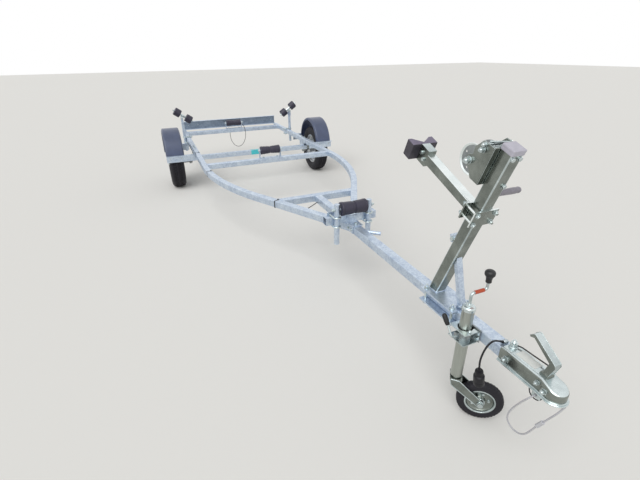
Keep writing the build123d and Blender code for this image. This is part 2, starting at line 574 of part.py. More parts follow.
clamp = block((-HALF - CLAMP_WALL, -HALF), about(JOCKEY_S, CLAMP_HALF), (RAIL_BOTTOM - 5, RAIL_TOP))
clamp += block((JOCKEY_X, -HALF), about(JOCKEY_S, TUBE_R), RING_Z)
clamp += rod(on_jockey(0, 0, RING_Z[0]), on_jockey(0, 0, RING_Z[1]), RING_R)
clamp -= rod(on_jockey(0, 0, RING_Z[0] - 1), on_jockey(0, 0, RING_Z[1] + 1), TUBE_R + RUNNING)
lug_x = (JOCKEY_X - TUBE_R - LUG_OUT, JOCKEY_X - TUBE_R - 4)
parts["jockey_clamp"] = clamp + block(lug_x, about(JOCKEY_S, LUG_HALF), LUG_Z)
HANDLE_R, HANDLE_GRIP_R = 4.5, 10.0
lug_face = -TUBE_R - LUG_OUT
handle_foot = on_jockey(lug_face, 4, RAIL_BOTTOM + 18)
handle_elbow = on_jockey(lug_face - 18, 4, RAIL_BOTTOM + 18)
grip_foot = on_jockey(lug_face - 23, -22, RAIL_TOP + 10)
grip_top = on_jockey(lug_face - 28, -48, RAIL_TOP + 50)
handle = rod(handle_foot, handle_elbow, HANDLE_R) + rod(handle_elbow, grip_foot, HANDLE_R)
handle += Pos(*handle_elbow) * Sphere(HANDLE_R)
parts["clamp_handle"] = handle + rod(grip_foot, grip_top, HANDLE_GRIP_R)

# Jockey tube with its crank on top
CROWN_T = 8.0
CROWN_Z = (2 * JOCKEY_R + 7.0, 2 * JOCKEY_R + 7.0 + CROWN_T)
TUBE_FOOT, TUBE_TOP = CROWN_Z[1] + 5.0, RAIL_TOP + 77.0
CAP_TOP, CAP_R = TUBE_TOP + 28.0, TUBE_R + 2.0
STEM_R, STEM_LEN = TUBE_R - 3.6, 90.0
tube = rod(on_jockey(0, 0, TUBE_FOOT), on_jockey(0, 0, TUBE_TOP), TUBE_R)
tube -= rod(on_jockey(0, 0, TUBE_FOOT), on_jockey(0, 0, TUBE_TOP - 10), STEM_R + RUNNING)
CAP_PROFILE = [
    (0.0, TUBE_TOP), (CAP_R, TUBE_TOP), (CAP_R, CAP_TOP - 10), (CAP_R - 10, CAP_TOP), (0.0, CAP_TOP),
]
tube += lathe(CAP_PROFILE, Plane(origin=on_jockey(0, 0, 0), x_dir=(1, 0, 0), z_dir=(0, 0, 1)))
parts["jockey_tube"] = tube
CRANK_RISE, CRANK_REACH, CRANK_BEND, CRANK_R, KNOB_RISE = 47.0, 74.0, 12.0, 6.0, 30.0
crank_z = CAP_TOP + CRANK_RISE
crank_path = FilletPolyline(
    on_jockey(0, 0, CAP_TOP),
    on_jockey(0, 0, crank_z),
    on_jockey(CRANK_REACH, 0, crank_z),
    on_jockey(CRANK_REACH, 0, crank_z + KNOB_RISE),
    radius=CRANK_BEND,
)
jockey_crank = sweep(Plane(origin=crank_path @ 0, z_dir=crank_path % 0) * Circle(CRANK_R), path=crank_path)
KNOB_PROFILE = [(0.0, 0.0), (11.0, 0.0), (13.0, 24.0), (20.0, 36.0), (20.0, 46.0), (12.0, 54.0), (0.0, 54.0)]
knob_plane = Plane(origin=on_jockey(CRANK_REACH, 0, crank_z + KNOB_RISE), x_dir=(1, 0, 0), z_dir=(0, 0, 1))
parts["jockey_crank"] = jockey_crank + lathe(KNOB_PROFILE, knob_plane)

# Jockey fork, its stem inside the tube, and the small wheel on its pin
yaw = radians(JOCKEY_YAW)
ahead, aside = Vector(sin(yaw), -cos(yaw), 0), Vector(cos(yaw), sin(yaw), 0)
fork_plane = Plane(origin=on_jockey(0, 0, 0), x_dir=ahead, z_dir=(0, 0, 1))
FORK_IN, FORK_T = JOCKEY_W / 2 + 5.0, 4.0
FORK_OUT = FORK_IN + FORK_T
CROWN_HALF, BLADE_BIG, BLADE_SMALL = 24.0, 20.0, 15.0
crown = Box(2 * CROWN_HALF, 2 * FORK_OUT, CROWN_T, align=LOW)
fork = fork_plane * Pos(-CROWN_HALF, -FORK_OUT, CROWN_Z[0]) * crown
fork += fork_plane * Pos(0, 0, CROWN_Z[0]) * Cylinder(STEM_R, STEM_LEN, align=ON_END)
hub_point = on_jockey(0, 0, JOCKEY_R) + ahead * TRAIL
top_eye, low_eye = Pos(0, CROWN_Z[1] - BLADE_BIG - 1), Pos(TRAIL, JOCKEY_R)
for way in (-1, 1):
    blade = make_hull((top_eye * Circle(BLADE_BIG)).edges() + (low_eye * Circle(BLADE_SMALL)).edges())
    side_plane = Plane(
        origin=on_jockey(0, 0, 0) + aside * (way * FORK_IN), x_dir=ahead, z_dir=ahead.cross(Vector(0, 0, 1))
    )
    fork += extrude(side_plane * blade, amount=FORK_T, dir=aside * way)
fork += rod(hub_point - aside * (FORK_OUT + 10), hub_point + aside * (FORK_OUT + 10), PIN_R)
parts["jockey_fork"] = fork
jockey_plane = Plane(origin=hub_point, x_dir=(0, 0, 1), z_dir=aside)
j_half, j_bead, j_rim = JOCKEY_W / 2, JOCKEY_R - 33.0, JOCKEY_R - 41.0
J_RIM = [
    (bore, -j_half), (20.0, -j_half), (20.0, -3.0), (j_rim, -3.0), (j_rim, 2 - j_half), (j_bead, 2 - j_half),
    (j_bead, j_half - 2), (j_rim, j_half - 2), (j_rim, 3.0), (20.0, 3.0), (20.0, j_half), (bore, j_half),
]
J_TYRE = [
    (j_bead, 3 - j_half), (JOCKEY_R - 17, -j_half), (JOCKEY_R - 5, 3 - j_half), (JOCKEY_R, -9.0),
    (JOCKEY_R, 9.0), (JOCKEY_R - 5, j_half - 3), (JOCKEY_R - 17, j_half), (j_bead, j_half - 3),
]
parts["jockey_rim"] = lathe(J_RIM, jockey_plane)
parts["jockey_tyre"] = lathe(J_TYRE, jockey_plane)

# Coupling head over the drawbar's end, with a safety tab, and its raised lever
HEAD_HALF = HALF + 8.0
HEAD_TOP, HEAD_FOOT = RAIL_TOP + 12.0, RAIL_BOTTOM
NECK_R, HEAD_LIP, HEAD_WALL, SOCKET_DEPTH = 44.0, 8.0, 5.0, 25.0
lip_z = (HEAD_FOOT, HEAD_FOOT + HEAD_WALL)
head_s = (COUPLING_REAR, BALL_S)
coupling = block(about(0, HEAD_HALF), head_s, (HEAD_FOOT, HEAD_TOP))
coupling += rod(point(0, BALL_S, HEAD_FOOT), point(0, BALL_S, HEAD_TOP), NECK_R)
coupling += block(about(0, HEAD_HALF + HEAD_LIP), head_s, lip_z)
coupling += rod(point(0, BALL_S, lip_z[0]), point(0, BALL_S, lip_z[1]), NOSE_R)
coupling -= block((-HALF, HALF), (COUPLING_REAR, DRAWBAR_END), FRAME_Z)
cavity_half = HEAD_HALF - HEAD_WALL
coupling -= block(about(0, cavity_half), (DRAWBAR_END, BALL_S - 85), (HEAD_FOOT, HEAD_TOP - PLATE))
coupling -= rod(point(0, BALL_S, HEAD_FOOT), point(0, BALL_S, HEAD_FOOT + SOCKET_DEPTH), BALL_R)
coupling -= Pos(*point(0, BALL_S, HEAD_FOOT + SOCKET_DEPTH)) * Sphere(BALL_R)
TAB_X = (-HEAD_HALF, -HEAD_HALF + HEAD_WALL)
TAB_HALF, TAB_DROP, TAB_HOLE_R = 16.0, 26.0, 5.0
tab_s, tab_z = BALL_S - 41.0, HEAD_FOOT - 12.0
tab = block(TAB_X, about(tab_s, TAB_HALF), (HEAD_FOOT - TAB_DROP, HEAD_FOOT))
tab -= rod(point(TAB_X[0] - 1, tab_s, tab_z), point(TAB_X[1] + 1, tab_s, tab_z), TAB_HOLE_R)
parts["coupling_head"] = coupling + tab
LEVER_HALF, LEVER_T = 15.0, 8.0
LeverPoint = namedtuple("LeverPoint", "back up")
LEVER_OUTLINE = [
    LeverPoint(54, 0), LeverPoint(34, 0), LeverPoint(18, 58), LeverPoint(112, 120), LeverPoint(140, 94),
    LeverPoint(136, 90), LeverPoint(112, 112), LeverPoint(28, 56),
]
lever_corners = [(BALL_S - p.back, HEAD_TOP + p.up) for p in LEVER_OUTLINE]
parts["coupling_lever"] = prism(lever_corners, -LEVER_HALF, LEVER_HALF)

# Cables: every route is straight runs joined by arcs, given as (x, s, z) points
SMALLEST_BEND = 3.0


def cable(name, route, r):
    """Round cable along a route, its arcs as large as their runs allow."""
    spots = [point(*p) for p in route]
    runs = [b - a for a, b in zip(spots, spots[1:])]
    radii = []
    for before, after in zip(runs, runs[1:]):
        shorter = min(before.length, after.length)
        radii.append(0.45 * shorter / tan(radians(before.get_angle(after)) / 2))
    path = FilletPolyline(*spots, radius=radii)
    tube = sweep(Plane(origin=path @ 0, z_dir=path % 0) * Circle(r), path=path)
    longest = max(run.length for run in runs)
    share = tube.volume / (path.length * pi * r * r)
    print(name, "diameter", 2 * r, "radii", [round(v) for v in radii], "longest run", round(longest))
    print(name, "length", round(path.length), "volume share", round(share, 4))
    assert min(radii) > SMALLEST_BEND * 2 * r, (name, min(radii))
    return tube


def meeting(tube, *nodes):
    """Cable with its ends cut flush where it meets other pieces."""
    for node in nodes:
        tube = tube - parts[node]
    return max(tube.solids(), key=lambda solid: solid.volume)


# Lighting cable with its plug, out of a gland on the drawbar behind the coupling
CORD_R = 3.5
GLAND_R = 8.0
gland_s, gland_z = COUPLING_REAR - 14.0, RAIL_TOP + GLAND_R
gland_x = (-6.0, 12.0)
gland = rod(point(gland_x[0], gland_s, gland_z), point(gland_x[1], gland_s, gland_z), GLAND_R)
gland += block(gland_x, about(gland_s, GLAND_R), (RAIL_TOP, gland_z))
parts["cable_gland"] = gland
plug_top = (-118.0, 4031.0, 398.0)
PLUG_ROUTE = [
    (gland_x[0], gland_s, gland_z), (-40.0, 4020.0, 489.0), (-74.0, 4025.0, 504.0), (-104.0, 4029.0, 491.0),
    (-120.0, 4031.0, 458.0), (-123.0, 4031.0, 425.0), plug_top,
]
parts["plug_cable"] = meeting(cable("plug_cable", PLUG_ROUTE, CORD_R), "cable_gland")
plug_axis = (point(*PLUG_ROUTE[-1]) - point(*PLUG_ROUTE[-2])).normalized()
PLUG_PROFILE = [
    (0.0, 0.0), (6.0, 0.0), (8.0, 12.0), (14.0, 14.0), (14.5, 34.0), (20.0, 38.0), (20.0, 82.0), (17.0, 85.0),
    (0.0, 85.0),
]
parts["plug"] = lathe(PLUG_PROFILE, Plane(origin=point(*plug_top), z_dir=plug_axis))

# Safety cable from the tab's hole round to the nose, in two lengths joined by a ferrule
SAFETY_R, FERRULE_R = 3.0, 7.0
ferrule_a, ferrule_b = (-36.0, 4234.0, 288.0), (-35.0, 4250.0, 325.0)
SAFETY_ROUTE = [
    (-19.0, tab_s, tab_z), (-58.0, 4197.0, 394.0), (-64.0, 4175.0, 350.0), (-56.0, 4148.0, 288.0),
    (-50.0, 4135.0, 241.0), (-47.0, 4137.0, 216.0), (-44.0, 4151.0, 198.0), (-40.0, 4172.0, 191.0),
    (-39.0, 4197.0, 202.0), (-38.0, 4217.0, 234.0), ferrule_a,
]
NOSE_ROUTE = [ferrule_b, (-29.0, 4263.0, 357.0), (-15.0, 4274.0, 386.0), (0.0, BALL_S + 38.0, HEAD_FOOT)]
parts["cable_ferrule"] = rod(point(*ferrule_a), point(*ferrule_b), FERRULE_R)
parts["safety_cable"] = [
    meeting(cable("safety_cable", SAFETY_ROUTE, SAFETY_R), "cable_ferrule"),
    meeting(cable("safety_cable end", NOSE_ROUTE, SAFETY_R), "cable_ferrule", "coupling_head"),
]

# Thin loop of cable below the coupling, behind the tab
LOOP_R, LOOP_X = 2.0, -20.0
LOOP_ROUTE = [
    (LOOP_X, 4163.0, HEAD_FOOT), (LOOP_X, 4162.0, 386.0), (LOOP_X, 4175.0, 366.0), (LOOP_X, 4199.0, 365.0),
    (LOOP_X, 4214.0, 382.0), (LOOP_X, 4218.0, HEAD_FOOT),
]
parts["coupling_loop"] = meeting(cable("coupling_loop", LOOP_ROUTE, LOOP_R), "coupling_head")

# Lighting cable inside the frame, where it shows: at the front and below the rear roller
LIGHT_R = 3.0
FRONT_ROUTE = [
    (-HALF + 2.2, 2272.0, 423.0), (-72.0, 2307.0, 419.0), (-130.0, 2350.0, 417.0), (-190.0, 2393.0, 420.0),
]
REAR_ROUTE = [
    (-62.0, REAR_CROSS - 22.0, RAIL_BOTTOM), (-66.0, -852.0, 348.0), (-52.0, -842.0, 284.0),
    (-18.0, -837.0, 232.0), (30.0, -835.0, 206.0), (82.0, -834.0, 222.0), (122.0, -832.0, 268.0),
    (144.0, -828.0, 328.0), (149.0, -822.0, 392.0), (145.0, -818.0, 450.0), (134.0, -846.0, 494.0),
    (117.0, -910.0, 506.0), (102.0, -984.0, 508.0),
    (90.0, RAIL_REAR + WALL, 512.0),
]
parts["lighting_cable"] = [
    meeting(cable("lighting_cable front", FRONT_ROUTE, LIGHT_R), "drawbar", "side_rail_left"),
    meeting(cable("lighting_cable rear", REAR_ROUTE, LIGHT_R), "rear_crossmember", "rear_channel"),
]

# Each node is one solid, apart from like pieces that share a node
shared = {name: shape for name, shape in parts.items() if isinstance(shape, list)}
for name, shape in parts.items():
    solids = shape if name in shared else shape.solids()
    assert len(solids) == (2 if name in shared else 1), (name, len(solids))
    parts[name] = Compound(children=solids) if name in shared else solids[0]
    export_step(parts[name], f"parts/{name}.step")
box = Compound(children=[solid for shape in parts.values() for solid in shape.solids()]).bounding_box()
print(len(parts), "nodes; X", box.min.X, box.max.X, "Y", box.min.Y, box.max.Y, "Z", box.min.Z, box.max.Z)
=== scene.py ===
from math import asin, atan2, cos, pi, radians, sin, tan

import bmesh
import bpy
from mathutils import Matrix, Vector


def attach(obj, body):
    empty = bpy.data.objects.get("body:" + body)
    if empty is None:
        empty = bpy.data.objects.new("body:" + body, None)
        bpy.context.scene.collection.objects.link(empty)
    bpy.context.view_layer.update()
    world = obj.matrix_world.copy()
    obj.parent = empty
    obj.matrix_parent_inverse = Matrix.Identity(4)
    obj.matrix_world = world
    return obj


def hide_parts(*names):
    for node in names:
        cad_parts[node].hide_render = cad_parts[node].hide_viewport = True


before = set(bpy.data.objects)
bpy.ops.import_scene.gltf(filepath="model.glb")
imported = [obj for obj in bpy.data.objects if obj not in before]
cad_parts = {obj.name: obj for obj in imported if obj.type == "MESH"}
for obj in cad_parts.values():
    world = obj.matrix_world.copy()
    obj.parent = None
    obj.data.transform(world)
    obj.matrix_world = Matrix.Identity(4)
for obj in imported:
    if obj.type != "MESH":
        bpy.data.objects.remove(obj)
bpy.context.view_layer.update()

# Camera: held at head height in front of the coupling and to its left, with the wide lens of a
# pocket camera, looking back along the whole trailer.
EYE = (-1.0487, -3.1918, 1.4367)
YAW, PITCH, ROLL = 0.3985, 0.4553, 0.0104
bpy.ops.object.camera_add(location=EYE, rotation=(pi / 2 - PITCH, ROLL, -YAW))
camera = bpy.context.object
camera.data.sensor_width = 36.0
camera.data.lens = 21.785
camera.data.clip_end = 100.0
bpy.context.scene.camera = camera
bpy.context.scene.view_settings.view_transform = "Standard"


# Floor and light: a plain pale sheet of studio paper, a soft white room and one broad soft light
# from above the left shoulder, which keeps a light shadow under the trailer.
def srgb(code):
    """Linear colour of an sRGB hex code."""
    parts = [int(code[i : i + 2], 16) / 255 for i in (0, 2, 4)]
    return tuple(p / 12.92 if p <= 0.04045 else ((p + 0.055) / 1.055) ** 2.4 for p in parts) + (1.0,)


def add(tree, kind, settings=None, links=None):
    """Shader node with its settings (a socket's name or number, or a property) and links."""
    node = tree.nodes.new("ShaderNode" + kind)
    for key, value in (settings or {}).items():
        if isinstance(key, int) or key in node.inputs:
            node.inputs[key].default_value = value
        else:
            setattr(node, key, value)
    for key, source in (links or {}).items():
        tree.links.new(source, node.inputs[key])
    return node


def begun(name):
    """New material with its tree and the coordinates that its pattern follows."""
    material = bpy.data.materials.new(name)
    material.use_nodes = True
    return material, material.node_tree, add(material.node_tree, "TexCoord").outputs


def surfaced(tree, factor, tones, rough, dents=None, settings=None, height=None, ends=(0, 1), over=(0, 1)):
    """Ends a finish: tones and gloss over a factor, dents (strength, depth in m), shader settings."""
    shader = tree.nodes["Principled BSDF"]
    for socket, value in (settings or {}).items():
        shader.inputs[socket].default_value = value
    if len(tones) == 2:
        ramp = add(tree, "ValToRGB", links={"Fac": factor})
        for stop, tone, end in zip(ramp.color_ramp.elements, tones, ends):
            stop.position, stop.color = end, srgb(tone)
        tree.links.new(ramp.outputs["Color"], shader.inputs["Base Color"])
    else:
        shader.inputs["Base Color"].default_value = srgb(tones[0])
    if isinstance(rough, tuple):
        span = {"From Min": over[0], "From Max": over[1], "To Min": rough[0], "To Max": rough[1]}
        gloss = add(tree, "MapRange", span, {"Value": factor})
        tree.links.new(gloss.outputs["Result"], shader.inputs["Roughness"])
    else:
        shader.inputs["Roughness"].default_value = rough
    if dents:
        bump = add(tree, "Bump", {"Strength": dents[0], "Distance": dents[1]}, {"Height": height or factor})
        tree.links.new(bump.outputs["Normal"], shader.inputs["Normal"])


def mottled(name, tones, cloud, rough, dents=None, settings=None, grain=None):
    """Finish over a cloud (scale in 1/m, detail, roughness), its dents over that or a finer grain."""
    material, tree, places = begun(name)
    noises = []
    for noise in (cloud, grain) if grain else (cloud,):
        sockets = dict(zip(("Scale", "Detail", "Roughness"), noise))
        noises.append(add(tree, "TexNoise", sockets, {"Vector": places["Object"]}).outputs["Fac"])
    surfaced(tree, noises[0], tones, rough, dents, settings, noises[-1])
    return material


# uncoated paper: white with a soft tooth, and hardly any shine
paper = mottled("studio_paper", ["E9E8E4"], (60, 4), 0.9, (0.05, 0.001), {"Specular IOR Level": 0.1})
FLOOR_SIDE = 70.0
bpy.ops.object.select_all(action="DESELECT")
bpy.ops.mesh.primitive_plane_add(size=FLOOR_SIDE)
floor = bpy.context.object
floor.name = "floor"
floor.data.materials.append(paper)
world = bpy.data.worlds.new("studio")
world.use_nodes = True
bpy.context.scene.world = world
tree = world.node_tree
ray = add(tree, "LightPath").outputs
seen = add(tree, "Math", {"operation": "ADD"}, {0: ray["Is Camera Ray"], 1: ray["Is Glossy Ray"]})
clamped = {"operation": "ADD", "use_clamp": True}
seen = add(tree, "Math", clamped, {0: seen.outputs[0], 1: ray["Is Transmission Ray"]})
level = add(tree, "MapRange", {"To Min": 0.5, "To Max": 1.0}, {"Value": seen.outputs[0]})
backdrop = tree.nodes["Background"]
backdrop.inputs["Color"].default_value = (1.0, 1.0, 1.0, 1.0)
tree.links.new(level.outputs["Result"], backdrop.inputs["Strength"])
LAMP_TURN = (radians(38.0), radians(-22.0), radians(-20.0))
bpy.ops.object.light_add(type="SUN", rotation=LAMP_TURN)
lamp = bpy.context.object.data
lamp.energy, lamp.angle = 1.7, radians(55.0)

# Cables: black PVC sheath for the lights, a wire rope in clear vinyl for safety, each one smooth
# line that hangs from where it is held. Along the trailer, s is mm ahead of the wheel centres.
WHEEL_Y = 1592.0


def at(x, s, z):
    """Spot in metres from mm across, ahead of the wheels and up."""
    return Vector((x, WHEEL_Y - s, z)) / 1000


def strung(name, kind, spots, r, rings=4, swell=None):
    """Curve of a radius along spots in metres, which may swell and shrink on its way."""
    curve = bpy.data.curves.new(name, "CURVE")
    curve.dimensions = "3D"
    line = curve.splines.new(kind)
    line.points.add(len(spots) - 1)
    for point, spot, share in zip(line.points, spots, swell or [1.0] * len(spots)):
        point.co, point.radius = (*spot, 1.0), share
    curve.bevel_depth, curve.bevel_resolution, curve.use_fill_caps = r, rings, True
    piece = bpy.data.objects.new(name, curve)
    bpy.context.scene.collection.objects.link(piece)
    return piece


def cord(name, points, diameter, material, node):
    """Cable whose line has these places as its control points."""
    piece = strung(name, "NURBS", [at(*place) for place in points], diameter / 2000)
    line = piece.data.splines[0]
    line.order_u = 3
    line.use_endpoint_u = True
    piece.data.resolution_u = 10
    piece.data.materials.append(material)
    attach(piece, "chassis")
    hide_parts(node)
    return piece


PLUG_LINE = [
    (-6, 4016, 468), (-40, 4020, 489), (-74, 4025, 504), (-104, 4029, 491), (-120, 4031, 458),
    (-123, 4031, 425), (-118, 4031, 398),
]
LOOP_LINE = [
    (-20, 4163, 410), (-20, 4162, 386), (-20, 4175, 366), (-20, 4199, 365), (-20, 4214, 382),
    (-20, 4218, 410),
]
FRONT_LINE = [(-22.8, 2272, 423), (-72, 2307, 419), (-130, 2350, 417), (-190, 2393, 420)]
REAR_LINE = [
    (-62, -862, 410), (-66, -852, 348), (-52, -842, 284), (-18, -837, 232), (30, -835, 206), (82, -834, 222),
    (122, -832, 268), (144, -828, 328), (149, -822, 392), (145, -818, 450), (134, -846, 494),
    (117, -910, 506), (102, -984, 508), (90, -1057, 512),
]
SAFETY_LINE = [
    (-19, 4199, 398), (-58, 4197, 394), (-64, 4175, 350), (-56, 4148, 288), (-50, 4135, 241),
    (-47, 4137, 216), (-44, 4151, 198), (-40, 4172, 191), (-39, 4197, 202), (-38, 4217, 234),
    (-36, 4234, 288),
]
NOSE_LINE = [(-35, 4250, 325), (-29, 4263, 357), (-15, 4274, 386), (0, 4278, 410)]
# soft PVC has a dull bloom and a faint drawing grain about 1 mm long
sheath = mottled(
    "black_pvc_sheath", ("0C0B10", "1D1C22"), (700, 3), 0.42, (0.15, 0.0004), {"Specular IOR Level": 0.3}
)
plug_cord = cord("plug_lead", PLUG_LINE, 7.0, sheath, "plug_cable")
loop_cord = cord("coupling_loop_lead", LOOP_LINE, 4.0, sheath, "coupling_loop")
front_cord = cord("lighting_lead_front", FRONT_LINE, 6.0, sheath, "lighting_cable")
rear_cord = cord("lighting_lead_rear", REAR_LINE, 6.0, sheath, "lighting_cable")
# clear vinyl over galvanised strands: a pale grey tube with the lay of the rope, 9 mm, inside it
vinyl, tree, places = begun("vinyl_coated_wire_rope")
turned = add(tree, "Mapping", {"Scale": (42.0, 3.0, 1.0)}, {"Vector": places["UV"]})
diagonal = {"Scale": 1.0, "bands_direction": "DIAGONAL"}
lay = add(tree, "TexWave", diagonal, {"Vector": turned.outputs["Vector"]})
clear_coat = {"Coat Weight": 0.6, "Coat Roughness": 0.15}
surfaced(tree, lay.outputs["Fac"], ("8C8C92", "C9C9CE"), 0.3, (0.3, 0.0004), clear_coat)
safety_cord = cord("safety_rope", SAFETY_LINE, 6.0, vinyl, "safety_cable")
nose_cord = cord("safety_rope_end", NOSE_LINE, 6.0, vinyl, "safety_cable")


# Plug: a round black moulded plug hanging from the lead, with a ribbed collar nut, a body with
# grip flats and a skirt round its pins.
def only(*pieces):
    """Selects these pieces alone, the first one active."""
    bpy.ops.object.select_all(action="DESELECT")
    for piece in pieces:
        piece.select_set(True)
    bpy.context.view_layer.objects.active = pieces[0]


def apply_place(piece, place=None):
    """Puts a piece's place in its mesh, its object at the origin."""
    if place is not None:
        piece.matrix_world = place @ piece.matrix_world
    only(piece)
    bpy.ops.object.transform_apply(location=True, rotation=True, scale=True)


def smooth(piece, angle=35.0):
    """Soft shading over the rounds, with the flats kept flat."""
    only(piece)
    bpy.ops.object.shade_smooth_by_angle(angle=radians(angle))
    piece.modifiers.new("flats", "WEIGHTED_NORMAL").keep_sharp = True
    bpy.ops.object.modifier_apply(modifier="flats")


def soften(piece, width, segments=2, limit=40.0):
    """Rounds the edges that turn more than the limit."""
    only(piece)
    bevel = piece.modifiers.new("edges", "BEVEL")
    bevel.width, bevel.segments = width, segments
    bevel.limit_method, bevel.angle_limit = "ANGLE", radians(limit)
    bpy.ops.object.modifier_apply(modifier="edges")
    smooth(piece)


def towards(origin, z, x=(1, 0, 0)):
    """Matrix of an origin whose z points one way and whose x keeps near another."""
    z = Vector(z).normalized()
    y = z.cross(Vector(x)).normalized()
    return Matrix.Translation(origin) @ Matrix((y.cross(z), y, z)).transposed().to_4x4()


def made_whole(gap):
    """Merges doubles, turns the faces outwards and leaves edit mode."""
    bpy.ops.mesh.select_all(action="SELECT")
    bpy.ops.mesh.remove_doubles(threshold=gap)
    bpy.ops.mesh.normals_make_consistent(inside=False)
    bpy.ops.object.mode_set(mode="OBJECT")


def spun(name, outline, steps, angle):
    """Closed (radius, height) outline in mm turned about z, left in edit mode."""
    bpy.ops.object.select_all(action="DESELECT")
    bpy.ops.mesh.primitive_circle_add(vertices=len(outline), radius=1.0)
    piece = bpy.context.object
    piece.name = name
    for vertex, (r, h) in zip(piece.data.vertices, outline):
        vertex.co = (r / 1000, 0.0, h / 1000)
    bpy.ops.object.mode_set(mode="EDIT")
    bpy.ops.mesh.select_all(action="SELECT")
    bpy.ops.mesh.spin(steps=steps, angle=angle, center=(0, 0, 0), axis=(0, 0, 1))
    return piece


def lathe(name, outline, place, steps=48, angle=35.0):
    """Closed (radius, height) outline in mm turned all round, then placed."""
    piece = spun(name, outline, steps, 2 * pi)
    made_whole(1e-6)
    apply_place(piece, place)
    smooth(piece, angle)
    return piece


def rod(name, a, b, r, sides=24, edge=0.0):
    """Round bar from a to b, its end edges rounded."""
    bpy.ops.object.select_all(action="DESELECT")
    way = b - a
    turn = way.to_track_quat("Z", "Y").to_euler()
    bpy.ops.mesh.primitive_cylinder_add(
        vertices=sides, radius=r, depth=way.length, location=(a + b) / 2, rotation=turn
    )
    piece = bpy.context.object
    piece.name = name
    apply_place(piece)
    if edge:
        soften(piece, edge)
    else:
        smooth(piece)
    return piece


def seated_rod(place, around, low, high, r, sides, edge=0.0):
    """Round bar between two heights of a place, (radius, turn) off its axis, in mm."""
    off = Vector((around[0] * cos(around[1]), around[0] * sin(around[1]), 0.0))
    ends = [place @ ((off + Vector((0, 0, height))) / 1000) for height in (low, high)]
    return rod("rod", *ends, r / 1000, sides, edge / 1000)


def joined(name, pieces):
    """These pieces as one."""
    only(*pieces)
    if len(pieces) > 1:
        bpy.ops.object.join()
    piece = bpy.context.object
    piece.name = name
    return piece


def fit(piece, material, slot, *nodes, body="chassis"):
    """Gives a piece its finish, its body and the CAD nodes it stands for."""
    piece.data.materials.clear()
    piece.data.materials.append(material)
    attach(piece, body)
    if nodes:
        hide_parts(*nodes)
    return piece


plug_tip = at(*PLUG_LINE[-1])
plug_place = towards(plug_tip, plug_tip - at(*PLUG_LINE[-2]))
PLUG_OUTLINE = [
    (3.4, 0), (5.4, 0), (6.2, 5), (7.6, 9), (8.2, 12), (13.4, 12.6), (14.2, 14), (14.5, 32), (14.0, 34),
    (15.0, 35), (19.2, 38), (20, 40), (20, 60), (19.2, 61.5), (19.2, 64), (20, 65.5), (20, 82), (18.6, 85),
    (16.6, 85), (16.6, 66), (3.4, 66),
]
plug_parts = [lathe("plug_body", PLUG_OUTLINE, plug_place)]
NUT_RIBS, GRIP_RIBS = (18, 14.2, 15.5, 31.5, 0.9), (12, 19.2, 42.5, 58.5, 1.1)
for count, out, low, high, r in (NUT_RIBS, GRIP_RIBS):
    plug_parts += [seated_rod(plug_place, (out, 2 * pi * i / count), low, high, r, 6) for i in range(count)]
plug_body = fit(joined("plug_body", plug_parts), sheath, "black_plastic", "plug")
PIN_CIRCLE, PIN_Z, PIN_R = 9.5, (66.0, 81.0), 2.3
pins = [(PIN_CIRCLE, pi * i / 3) for i in range(6)] + [(0.0, 0.0)]
plug_pins = joined("plug_pins", [seated_rod(plug_place, spot, *PIN_Z, PIN_R, 12, 0.6) for spot in pins])


# Cable gland: a nickel plated brass nut on a foot on the drawbar, its lead held in a tapered rubber
# sleeve.
def slab(name, low, high, edge, segments=2):
    """Block between two corners in metres, its edges rounded by some mm."""
    bpy.ops.object.select_all(action="DESELECT")
    bpy.ops.mesh.primitive_cube_add(size=1.0, location=(low + high) / 2, scale=high - low)
    piece = bpy.context.object
    piece.name = name
    apply_place(piece)
    if edge:
        soften(piece, edge / 1000, segments)
    return piece


def block(name, x, s, z, edge=0.8, segments=2):
    """Block between (low, high) pairs in mm, its edges rounded."""
    return slab(name, at(x[0], s[1], z[0]), at(x[1], s[0], z[1]), edge, segments)


# nickel plate: a cool grey mirror, dulled unevenly in fine specks
bare_metal = {"Metallic": 1.0}
nickel = mottled("nickel_plated_brass", ["B7C0C4"], (500, 3), (0.22, 0.36), settings=bare_metal)
gland_mouth = at(*PLUG_LINE[0])
gland_way = at(*PLUG_LINE[1]) - gland_mouth
GLAND_OUTLINE = [
    (0, -18), (7.2, -18), (8, -17), (8, -8), (6.9, -7), (6.9, -6), (8, -5), (8, -1.5), (6.5, 0), (0, 0),
]
SLEEVE_OUTLINE = [
    (3.4, -2), (5.6, -2), (5.8, 2), (5.0, 5), (5.3, 7), (4.7, 10), (4.9, 12), (4.3, 16), (4.4, 18),
    (3.9, 26), (3.4, 26),
]
gland = lathe("gland_nut", GLAND_OUTLINE, towards(gland_mouth, (-1, 0, 0), (0, 0, 1)), 24)
gland_sleeve = lathe("gland_sleeve", SLEEVE_OUTLINE, towards(gland_mouth, gland_way, (0, 0, 1)), 24)
foot = block("foot", (-6, 12), (4008, 4024), (460, 468))
fit(joined("cable_gland_body", [gland, foot]), nickel, "black_plastic", "cable_gland")
fit(gland_sleeve, sheath, "black_plastic")

